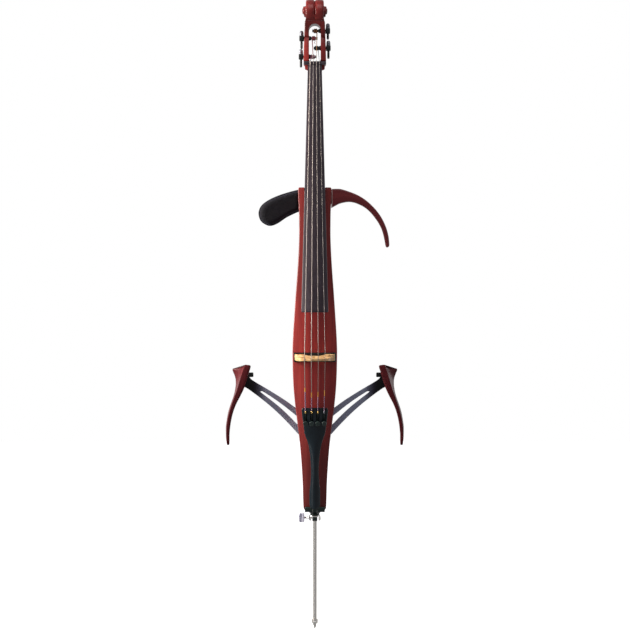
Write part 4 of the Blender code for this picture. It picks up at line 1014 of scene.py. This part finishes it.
def string(label, radius, x_tail, x_bridge, x_nut, crown):
    """Ball end, wrapped tail, speaking length and the winding on its post."""
    side, height, _, _ = TUNERS[label]
    low, high = WRAP_SHARE[label]
    tail_up = (tail_matrix().to_3x3() @ Vector(UP)).normalized()
    ball = tail_point(x_tail, BALL_ALONG, 3.9)
    start = ball + tail_up * 4.5
    top = Vector((x_bridge, BRIDGE_FOOT - crown - GAP - radius, BRIDGE_CREST_Z))
    over_nut = Vector((x_nut, NUT_FACE - GAP - radius, NUT_MIDDLE))
    profile = [(0, 3.4), (0.9, 3.3), (1.5, 2.6), (1.8, 1.3), (1.9, 0), (1.8, -1.3), (1.5, -2.6),
        (0.9, -3.3), (0, -3.4)]
    piece("string_ball_" + label, lathe_mesh(profile, ball, tail_up, 28), NICKEL if label == "a" else BRASS,
        "body")

    def length(name, first, last, size, material):
        path = [first.lerp(last, i / 7) for i in range(8)]
        piece(name + label, tube_mesh(path, size, 12), material, "body")

    length("string_silk_", ball + tail_up * 1.8, start.lerp(top, low), radius + 0.45, SILK_LOW)
    length("string_wrap_", start.lerp(top, low), start.lerp(top, high), radius + 0.38, GOLD_WRAP)
    wire = wound_string("winding_" + label, "7f7571" if label != "a" else "7d7978", "aba19c", 700)
    rise = Vector((0, 0, 2))
    path = [start.lerp(top, high + (1 - high) * i / 9) for i in range(10)] + [top + rise]
    path += [(top + rise).lerp(over_nut - Vector((0, 0, 3.6)), i / 24) for i in range(1, 25)]
    path.append(over_nut + Vector((0, 0, 3.6)))
    silk_radius = max(radius + 0.3, 1.15)
    coil, pitch, steps, turns = POST_RADIUS + GAP + silk_radius, 2 * silk_radius + 0.1, 28, 3.2
    across = pitch if side < 0 else -pitch
    start_x = WINDING_CENTRE[label] - across * turns / 2
    winding = []
    for i in range(int(turns * steps) + 1):
        angle = math.pi + TAU * i / steps - 0.5
        winding.append(Vector((start_x + across * i / steps, POST_Y + coil * math.cos(angle),
            height - coil * math.sin(angle))))
    leave = path[-1].lerp(winding[0], 0.35)
    piece("string_wire_" + label, tube_mesh(path + [leave], radius, 12), wire, "body", ["string_" + label])
    tint = silk("post_silk_" + label, *SILK_TOP[label])
    coiled = [path[-1].lerp(winding[0], s) for s in (0.33, 0.66)] + winding
    sizes = [radius + 0.1, radius + 0.12] + [silk_radius] * len(winding)
    piece("string_winding_" + label, tube_mesh(coiled, sizes, 12), tint, "body")
    if label == "g":
        loose = flow([(-1.4, -12.4, 1390.5), (0.6, -13.6, 1387), (-0.9, -13, 1383.2), (1.3, -13.6, 1379.6)],
            24)
        piece("loose_thread", tube_mesh(loose, 0.5, 10), tint, "body")


# --- endpin
def endpin():
    """Plug, clamp collar, thumbscrew, sliding rod and its spike."""
    bore = 5.3
    plug = [(bore, 330), (9, 330), (9, 280.7), (10.6, 280.7), (11.2, 280.2), (11.2, 279.6), (10.6, 279),
        (9.7, 278.6), (9.5, 276.5), (9.6, 274.6), (10.6, 274.1), (11.2, 273.6), (11.2, 272.6),
        (10.8, 271.2), (10.2, 270.6), (bore, 270.6)]
    piece("endpin_socket", lathe_mesh(plug, ORIGIN, UP, 56, True), GREEN, "body", ["endpin_plug"])
    ring = [(bore, 270.3), (12.6, 270.3), (13.8, 269.8), (14.3, 269), (14.3, 266.8), (13.8, 266.4),
        (13.8, 265.8), (14.3, 265.4), (14.3, 259.6), (13.9, 258.4), (12.9, 257.3), (12.2, 257), (bore, 257)]
    window = block_mesh((-8.6, -20, 240), (8.6, 20, 266.4), 1.2)
    screw_hole = rod_shape((-20, 0, CLAMP_Z), (-3, 0, CLAMP_Z), THUMB_HOLE)
    collar = carved(lathe_mesh(ring, ORIGIN, UP, 56, True), screw_hole, window)
    piece("endpin_clamp", collar, CHROME, "body", ["endpin_collar"])
    sleeve = [(5.25, 266.2), (5.9, 266.2), (6.1, 266), (6.1, 256.4), (5.9, 256.2), (5.25, 256.2)]
    piece("clamp_sleeve", carved(lathe_mesh(sleeve, ORIGIN, UP, 48, True), screw_hole), SCREW_BLACK, "body")
    rod = [(0, 27.3), (4.4, 27.3), (5, 27.9), (5, 120), (5, 225), (5, 329.4), (4.4, 330), (0, 330)]
    shape = carved(lathe_mesh(rod, ORIGIN, UP, 48), upright(0, 0, 20, 38, 2.8))
    piece("endpin_bar", shape, CHROME, "endpin", ["endpin_rod"])
    tip = [(0, 37), (2.5, 37), (2.5, 27), (4.6, 27), (5, 26.6), (5, 25.6), (7.4, 24.9), (8, 24.3),
        (8, 21.8), (7.6, 21.3), (7.6, 19.6), (8, 19.1), (8, 16.2), (7.2, 15.1), (5.2, 14.6), (4.5, 14.2),
        (4.3, 11), (3.2, 7.4), (1.9, 3.8), (0.6, 0.6), (0, 0)]
    piece("endpin_spike", lathe_mesh(tip, ORIGIN, UP, 48), CHROME, "endpin", ["endpin_tip"])
    threads = [(2.5 - (0 if i % 2 else 0.32), 21.6 - i * 0.55) for i in range(38)]
    screw = [(0, 31), (2.1, 31), (2.1, 22.4), *threads, (1.9, 0), (0, 0)]
    piece("clamp_screw_shaft", lathe_mesh(screw, (-5.8, 0, CLAMP_Z), (-1, 0, 0), 32), CHROME, "clamp_screw",
        ["endpin_screw"])
    outline = [(-38, 256), (-35.6, 253.2), (-27, 253.2), (-24.6, 256), (-24.6, 272), (-27, 274.8),
        (-35.6, 274.8), (-38, 272)]
    knob = plate_mesh([outline], -3.6, 3.6, 1.3, 4)
    dips = [upright(-31.3, side * 13.2, 245, 285, 10.4, 48) for side in (-1, 1)]
    bore_cut = rod_shape((-37.4, 0, CLAMP_Z), (-20, 0, CLAMP_Z), THUMB_HOLE)
    piece("clamp_thumb_knob", carved(knob, bore_cut, *dips), LAVENDER, "clamp_screw", ["endpin_screw_knob"])


# --- chest pad
PAD_OUTLINE = [(-38, 1039.8), (-66, 1033), (-92, 1024), (-114, 1013), (-128, 1001), (-134, 985),
    (-130, 967.5), (-119, 957.5), (-105, 953.5), (-88, 959.5), (-68, 973), (-46, 984), (-35, 989),
    (-31, 998), (-31, 1030), (-33, 1037)]


def inset(points, margin):
    """Every point of an anticlockwise outline moved inward."""
    result = []
    for i, point in enumerate(points):
        before, after = Vector(points[i - 1]), Vector(points[(i + 1) % len(points)])
        along = (after - before).normalized()
        result.append((point[0] - along.y * margin, point[1] + along.x * margin))
    return result


def chest_pad():
    """Padded fabric rest: filled by a cloth run, with piping round its edge."""
    outline = flow(PAD_OUTLINE, 110, True)
    middle, half_deep = 42.8, 13.0
    rows = []
    for angle in np.linspace(-80, 80, 15):
        turn = math.radians(float(angle))
        rows.append([(x, middle + half_deep * math.sin(turn), z)
            for x, z in inset(outline, 2.2 + 9.5 * (1 - math.cos(turn)))])
    mesh = loft_mesh(rows)
    mesh = puffed(mesh, 4)

    def smoother(item):
        item.modifiers.new("finer", "SUBSURF").render_levels = 1
        item.modifiers["finer"].levels = 1
    pad = piece("chest_pad_fabric", modified(mesh, smoother), FABRIC, "chest_rest", ["chest_pad"], 80)
    rim = [(x, middle + 0.5, z) for x, z in inset(outline, 1.6)]
    piping = tube_mesh(rim + [rim[0]], 1.5, 12)
    piece("chest_pad_piping", piping, PIPING, "chest_rest")
    tongue = [(-24, 999.5), (-10, 1002), (-6.2, 1008), (-6.2, 1014), (-10, 1020), (-24, 1022.5),
        (-36.4, 1020), (-36.4, 1001)]
    hole = circle(*CHEST_PIVOT, BOLT_HOLE, 28)
    piece("pad_tongue", plate_mesh([tongue, hole], 28.5, 31.3, 0.5), DARK_METAL, "chest_rest",
        ["chest_pad_plate"])
    piece("pad_bracket", block_mesh((-37.2, 28.5, 1002), (-34.2, 46, 1019), 0.6), DARK_METAL, "chest_rest")
    pin = [(0, 8), (4.6, 8), (6, 7.6), (6.6, 6.9), (6.6, 4.3), (6, 3.8), (3, 3.7), (3, -17.5), (0, -17.5)]
    shape = carved(lathe_mesh(pin, (CHEST_PIVOT[0], BACK, CHEST_PIVOT[1]), OUT, 80, ridges=(3, 4, 20, 0.4)),
        box_shape((-23, BACK + 7, 1010.4), (-13, BACK + 9, 1011.6)))
    piece("pad_pivot_screw", shape, NICKEL, "body", ["chest_pad_pin"])


def puffed(mesh, limit):
    """The mesh filled out by a short cloth run, with each point's travel capped in mm."""
    def remeshed(item):
        step = item.modifiers.new("even", "REMESH")
        step.mode, step.voxel_size = "VOXEL", 4.2 * MM
    even = modified(mesh, remeshed)
    rest = [v.co.copy() for v in even.vertices]
    item = placed("cloth", even)
    cloth = item.modifiers.new("cloth", "CLOTH")
    cloth.settings.use_pressure = True
    cloth.settings.uniform_pressure_force = 4.0
    cloth.settings.quality = 5
    cloth.settings.effector_weights.gravity = 0.0
    cloth.settings.shrink_min = -0.05
    for frame_number in range(1, 21):
        bpy.context.scene.frame_set(frame_number)
    result = baked(item)
    bpy.context.scene.frame_set(1)
    sideways, nearest, farthest = 0.12, 29 * MM, 57 * MM
    for vertex, start in zip(result.vertices, rest):
        move = vertex.co - start
        move.x, move.z = sideways * move.x, sideways * move.z
        if move.length > limit * MM:
            move = move.normalized() * limit * MM
        vertex.co = start + move
        vertex.co.y = min(max(vertex.co.y, nearest), farthest)
    return result


# --- shoulder frame
def section(centre, across, deep, half_across, half_deep, corner):
    """Closed ring: a rectangle with round corners in the plane of two directions."""
    steps = 6
    corner = min(corner, half_across * 0.9, half_deep * 0.9)
    ring = []
    for sx, sy, first in ((1, 1, 0), (-1, 1, 90), (-1, -1, 180), (1, -1, 270)):
        for k in range(steps + 1):
            angle = math.radians(first + 90 * k / steps)
            ring.append((sx * (half_across - corner) + corner * math.cos(angle),
                sy * (half_deep - corner) + corner * math.sin(angle)))
    return [tuple(centre + across * u + deep * v) for u, v in ring], ring


def rail(points, count):
    """One edge of the frame, resampled so that both edges keep step with each other."""
    xs, zs = curves_of([(i, *point) for i, point in enumerate(points)])
    return [(xs(t), zs(t)) for t in np.linspace(0, len(points) - 1, count)]


def shoulder_frame():
    """Bent wooden half frame with its tenon, a thin pale strip of painted highlight at its joint with the
    body, and its clamp knob.
    """
    outer = ((40.3, 1039.4), (56, 1039.6), (82.6, 1032.5), (100, 1025.4), (113, 1018), (124, 1010),
        (136, 999), (148, 985.5), (157, 972.5), (165, 957), (171, 940.5), (174.8, 923), (176, 908),
        (174.5, 902))
    inner = ((38.8, 994.5), (46, 998.5), (62, 1006), (80, 1009), (92, 1007.5), (102, 1004), (116, 997),
        (129, 986.5), (141, 972.5), (151.5, 957), (159, 940.5), (164, 921), (166.8, 906), (168.5, 901))
    count = 90
    outer, inner = rail(outer, count), rail(inner, count)
    rows, grain, along, last = [], [], 0, None
    for i, (far, near) in enumerate(zip(outer, inner)):
        far, near = Vector((far[0], 0, far[1])), Vector((near[0], 0, near[1]))
        centre = (far + near) / 2 + Vector((0, 5, 0))
        along += (centre - last).length * MM if last is not None else 0.0
        last = centre
        share = i / (count - 1)
        deep = 14 - 8 * share
        pinch = 1 - 0.55 * max(0, (share - 0.965) / 0.035) ** 2
        ring, flat = section(centre, (far - near).normalized(), Vector(OUT),
            (far - near).length / 2 * pinch, deep * pinch, 4.2)
        rows.append(ring)
        grain += [(u * MM, v * MM, along) for u, v in flat]
    piece("shoulder_wood", loft_mesh(rows, grain), FRAME_WOOD, "half_frame", ["shoulder_frame"])
    tenon = block_mesh((16.4, 2.3, 1004.3), (44, 17.7, 1029.7), 0.8)
    piece("shoulder_tenon", tenon, BLACK, "half_frame")
    # Painted highlight: the thin pale strip at the joint stands for the bright edge there.
    strip = block_mesh((39.75, -9.5, 996.5), (41.2, 19.4, 1038.8), 0.5)
    piece("shoulder_edge_highlight_strip", strip, EDGE_HIGHLIGHT, "half_frame")
    knob = [(0, 14), (6.2, 14), (7.6, 13.5), (8.5, 12.4), (8.8, 11.6), (8.8, 3.6), (8.2, 2.6), (3, 2),
        (3, -9.6), (0, -9.6)]
    piece("shoulder_clamp_knob",
        lathe_mesh(knob, (FRAME_SCREW[0], BACK, FRAME_SCREW[1]), OUT, 96, ridges=(3, 6, 8, 1)), BLACK,
        "frame_screw", ["frame_knob"])


# --- knee supports
def knee_arm(side, label):
    """Slotted satin arm with its outer sleeve, clip and the two ridged bolts."""
    outline = [(-24, 452), (-16.5, 455), (-14, 462), (-14, 500), (-17, 508), (-24, 511.5), (-36, 516),
        (-50.4, 525.5), (-68.7, 538.8), (-92.3, 553.9), (-115.9, 568.3), (-139.5, 582.2), (-151, 590),
        (-158, 598), (-168, 603.5), (-178, 601), (-184, 591), (-182, 580), (-173, 573.5), (-163, 569.5),
        (-151.3, 561.7), (-127.7, 544.2), (-104.1, 524.9), (-80.5, 503.2), (-56.9, 479), (-34, 455)]
    slot = [(-129.5, 560.4), (-125, 561.2), (-115.9, 556), (-104.1, 548.5), (-92.3, 540.6), (-80.5, 532),
        (-68.7, 523.2), (-56.9, 513.7), (-42, 501.5), (-38, 497), (-37.5, 484), (-41, 482.5),
        (-56.9, 498.6), (-80.5, 521), (-104.1, 540.4), (-127, 558)]
    loops = [flow(outline, 150, True), flow(slot, 80, True), circle(*ARM_PIVOT, BOLT_HOLE, 28),
        circle(*BLADE_PIVOT, BOLT_HOLE, 28)]
    if side > 0:
        loops = [flipped(loop) for loop in loops]
    body_name = "arm_" + label
    piece("arm_plate_" + label, plate_mesh(loops, 28.4, 33, 0.5, 3), ARM, body_name, ["knee_arm_" + label])
    clip = sorted((side * 145.5, side * 158))
    piece("arm_clip_" + label, block_mesh((clip[0], 26.3, 594.8), (clip[1], 33.4, 605.8), 2.2), BLACK,
        body_name)
    head = [(0, 13), (5.6, 13), (7.2, 12.5), (8.1, 11.7), (8.4, 11), (8.4, 6.2), (7.9, 5.5), (3, 5.4),
        (3, -17.5), (0, -17.5)]
    spot = (-side * ARM_PIVOT[0], BACK, ARM_PIVOT[1])
    piece("arm_bolt_head_" + label, lathe_mesh(head, spot, OUT, 96, ridges=(3, 6, 8, 0.9)), BLACK, "body",
        ["arm_bolt_" + label])
    head = [(0, 9.2), (5.2, 9.2), (6.5, 8.8), (7.4, 8), (7.4, 5.9), (7, 5.4), (3, 5.3), (3, -11), (0, -11)]
    spot = (-side * BLADE_PIVOT[0], BACK, BLADE_PIVOT[1])
    piece("blade_bolt_head_" + label, lathe_mesh(head, spot, OUT, 96, ridges=(3, 4, 16, 0.5)), BLACK,
        body_name, ["blade_bolt_" + label])


def blade_ring(height, inner, crease, outer, thick, front, rear, margin):
    """Ring of (X outward, Y, Z): broad front edge, hollow outer face, thin back."""
    flare_start, flare_height = 560, 55
    tent = max(0, (height - flare_start) / flare_height) ** 1.5
    hollow = 0.26 * (outer - crease)
    wide = crease - inner
    ring = [(inner, front + 3.2), (inner + 0.05 * wide, front + 1.5), (inner + 0.16 * wide, front + 0.5)]
    ring += [(inner + share * wide, front + 0.1) for share in (0.3, 0.5, 0.7, 0.88)]
    ring += [(crease - 0.35, front + 0.25), (crease, front + 1)]
    for share in np.linspace(0.1, 0.9, 9):
        bow = hollow * math.sin(math.pi * share) * 0.55
        ring.append((crease + (outer - crease) * share - bow, front + 1 + (rear - 3.2 - front) * share))
    ring += [(outer, rear - 2), (outer - 0.3, rear - 0.9), (outer - 1.1, rear - 0.2), (outer - 2, rear),
        (outer - thick + 1, rear - 0.1), (outer - thick + 0.2, rear - 0.8), (outer - thick, rear - 2)]
    for share in np.linspace(0.12, 0.88, 7):
        bow = hollow * math.sin(math.pi * share) * 0.45
        base = outer - thick
        ring.append((base + (inner - base) * share - bow * 0.4, rear - 2 + (front + 5.2 - rear) * share))
    shrunk = inset(ring, margin) if margin else ring
    result = []
    for (x, y), (x0, _) in zip(shrunk, ring):
        deep = min(max((y - front) / (rear - front), 0), 1)
        edge = max(0, 1 - (x0 - inner) / wide) * (1 - deep)
        result.append((x, y, height + tent * (10.6 * (1 - deep) ** 2.4 - 0.5 * deep - 1.6 * edge)))
    return result


def knee_blade(side, label):
    """Bent wooden knee rest with a hollow outer face and a flared, peaked top."""
    # height, then X of the inner front, outer front and outer back edge, back thickness,
    # Y of the front and of the back
    stations = ((435, 203.4, 206.4, 206.6, 1.8, 1, 7), (436.5, 202.5, 207.2, 207.4, 2.6, -1, 8.5),
        (440, 202, 207.8, 208, 3.5, -3, 10), (457, 202, 208.6, 209.6, 5, -6, 12),
        (475, 200.6, 208, 209.9, 5.6, -9, 13), (494, 197.7, 205.6, 207.8, 6, -11, 15),
        (514, 192.8, 201, 204, 6.4, -13, 18), (532, 185.9, 195.4, 198.4, 6.8, -14, 20),
        (551, 176.1, 188.6, 191.8, 7, -15, 22), (567, 168, 182.8, 188.4, 7, -16, 24),
        (579, 163, 178.8, 187.2, 6.8, -16, 24.6), (589, 159.4, 175.3, 187.6, 6.6, -16, 25),
        (599, 155.8, 171.7, 190, 6.4, -16, 25.5), (606, 153.4, 168.5, 192.8, 6, -16, 25.5),
        (612, 151.2, 165.8, 195, 5.6, -15.6, 25.3), (615.5, 150.6, 164.2, 195.2, 5.2, -15, 24.8))
    curves = curves_of(stations)
    levels = [(435, 0.7), (435.3, 0.2), (435.9, 0), (437, 0), (438.4, 0)]
    levels += [(z, 0) for z in np.linspace(440, 611, 64)]
    levels += [(612.6, 0), (613.8, 0.15), (614.7, 0.5), (615.3, 1), (615.5, 1.6)]
    rows, grain = [], []
    for height, margin in levels:
        inner, crease, outer, thick, front, rear = (curve(height) for curve in curves)
        wider = 0.8 * min(max((590 - height) / 40, 0), 1)
        ring = blade_ring(height, inner - wider, crease + 0.4 * wider, outer + wider * 0.6, thick, front,
            rear, margin)
        rows.append([(side * x, y, z) for x, y, z in ring])
        grain += [(x * MM, y * MM, z * MM) for x, y, z in ring]
    piece("blade_wood_" + label, loft_mesh(rows, grain), BENT_WOOD, "blade_" + label,
        ["knee_blade_" + label])
    hub = [(0, 6), (7.4, 6), (7.4, 27.2), (6.9, BACK), (3.3, BACK), (3.3, 16), (0, 16)]
    piece("blade_hub_" + label, lathe_mesh(hub, (-side * BLADE_PIVOT[0], 0, BLADE_PIVOT[1]), OUT, 48),
        BLACK, "blade_" + label)


# --- assembly
body()
back_fittings()
neck_and_scroll()
fingerboard()
nut()
bridge()
tailpiece()
for entry in STRINGS:
    tuner(entry[0])
    string(*entry)
    fine_tuner(entry[0], entry[2])
tail_cord()
saddle()
endpin()
chest_pad()
shoulder_frame()
for side_sign, side_name in ((-1, "left"), (1, "right")):
    knee_arm(side_sign, side_name)
    knee_blade(side_sign, side_name)


# --- floor, light and camera
def stage_floor():
    """Pale floor under the spike, seen but throwing no light back."""
    work = bmesh.new()
    bmesh.ops.create_circle(work, cap_ends=True, segments=96, radius=9)
    mesh = bpy.data.meshes.new("floor")
    work.to_mesh(mesh)
    work.free()
    floor = placed("floor", mesh)
    floor.location.z = -0.0006
    look = Look("floor_paint")
    look.paint(look.ramp(look.noise(3), ((0.3, "f6f6f6"), (0.7, "fbfbfb"))))
    look.set(Roughness=0.9, Specular_IOR_Level=0, Emission_Color=(1, 1, 1, 1), Emission_Strength=1.1)
    mesh.materials.append(look.material)
    floor.visible_diffuse = False
    floor.visible_glossy = False


def softbox(name, place, aim, size, power, tint=(1, 1, 1)):
    """Rectangular soft light aimed at a point."""
    light = bpy.data.lights.new(name, "AREA")
    light.shape = "RECTANGLE"
    light.size, light.size_y = size
    light.energy = power
    light.color = tint
    item = placed(name, light)
    item.location = place
    item.rotation_euler = (Vector(aim) - Vector(place)).to_track_quat("-Z", "Y").to_euler()


def surround():
    """White to the camera, grey as a source of light and in reflections."""
    world = bpy.data.worlds.new("surround")
    bpy.context.scene.world = world
    world.use_nodes = True
    tree = world.node_tree
    ray = tree.nodes.new("ShaderNodeLightPath")
    seen = tree.nodes["Background"]
    mirrored, diffuse = (tree.nodes.new("ShaderNodeBackground") for _ in range(2))
    for shader, tint in ((seen, (1, 1, 1, 1)), (mirrored, (1, 1, 1, 1)),
            (diffuse, (0.15, 0.135, 0.165, 1))):
        shader.inputs["Color"].default_value = tint
    split, depth = tree.nodes.new("ShaderNodeSeparateXYZ"), tree.nodes.new("ShaderNodeMapRange")
    for key, value in (("From Min", -1), ("To Min", 0.3), ("To Max", 0.7)):
        depth.inputs[key].default_value = value
    inner, outer = (tree.nodes.new("ShaderNodeMixShader") for _ in range(2))
    for source, target in (
            (tree.nodes.new("ShaderNodeTexCoord").outputs["Generated"], split.inputs[0]),
            (split.outputs["Y"], depth.inputs["Value"]),
            (depth.outputs["Result"], mirrored.inputs["Strength"]),
            (ray.outputs["Is Glossy Ray"], inner.inputs[0]),
            (diffuse.outputs[0], inner.inputs[1]),
            (mirrored.outputs[0], inner.inputs[2]),
            (ray.outputs["Is Camera Ray"], outer.inputs[0]),
            (inner.outputs[0], outer.inputs[1]),
            (seen.outputs[0], outer.inputs[2]),
            (outer.outputs[0], tree.nodes["World Output"].inputs["Surface"])):
        tree.links.new(source, target)


def studio():
    """High soft key from the left, faint panels elsewhere, and the camera."""
    surround()
    softbox("key", (-1.81, -0.28, 1.35), (0, 0, 0.8), (0.8, 1.3), 90, (1, 0.94, 0.86))
    softbox("front_top", (0, -1.1, 2.5), (0, 0, 1.3), (1.3, 0.9), 10)
    softbox("low_strip", (-1.3, -1.1, 0.25), (0, 0, 0.3), (0.22, 1.1), 2, (1, 0.97, 0.94))
    softbox("right_panel", (2.2, -0.6, 1.1), (0, 0, 0.8), (0.5, 1.8), 4, (0.88, 0.92, 1))
    softbox("rear_left", (-1.8, 2.4, 1.5), (0, 0, 0.8), (1.4, 2.2), 3)
    softbox("rear_right", (2.2, 2.2, 1.1), (0, 0, 0.8), (1, 1.8), 9)
    camera = bpy.data.cameras.new("camera")
    camera.lens = 145.3
    camera.sensor_width = 36.0
    camera.clip_end = 60.0
    item = placed("camera", camera)
    item.location = (0.0004, -6, 0.742)
    item.rotation_euler = (math.radians(90), 0, 0)
    bpy.context.scene.camera = item
    bpy.context.scene.view_settings.view_transform = "Standard"


stage_floor()
studio()
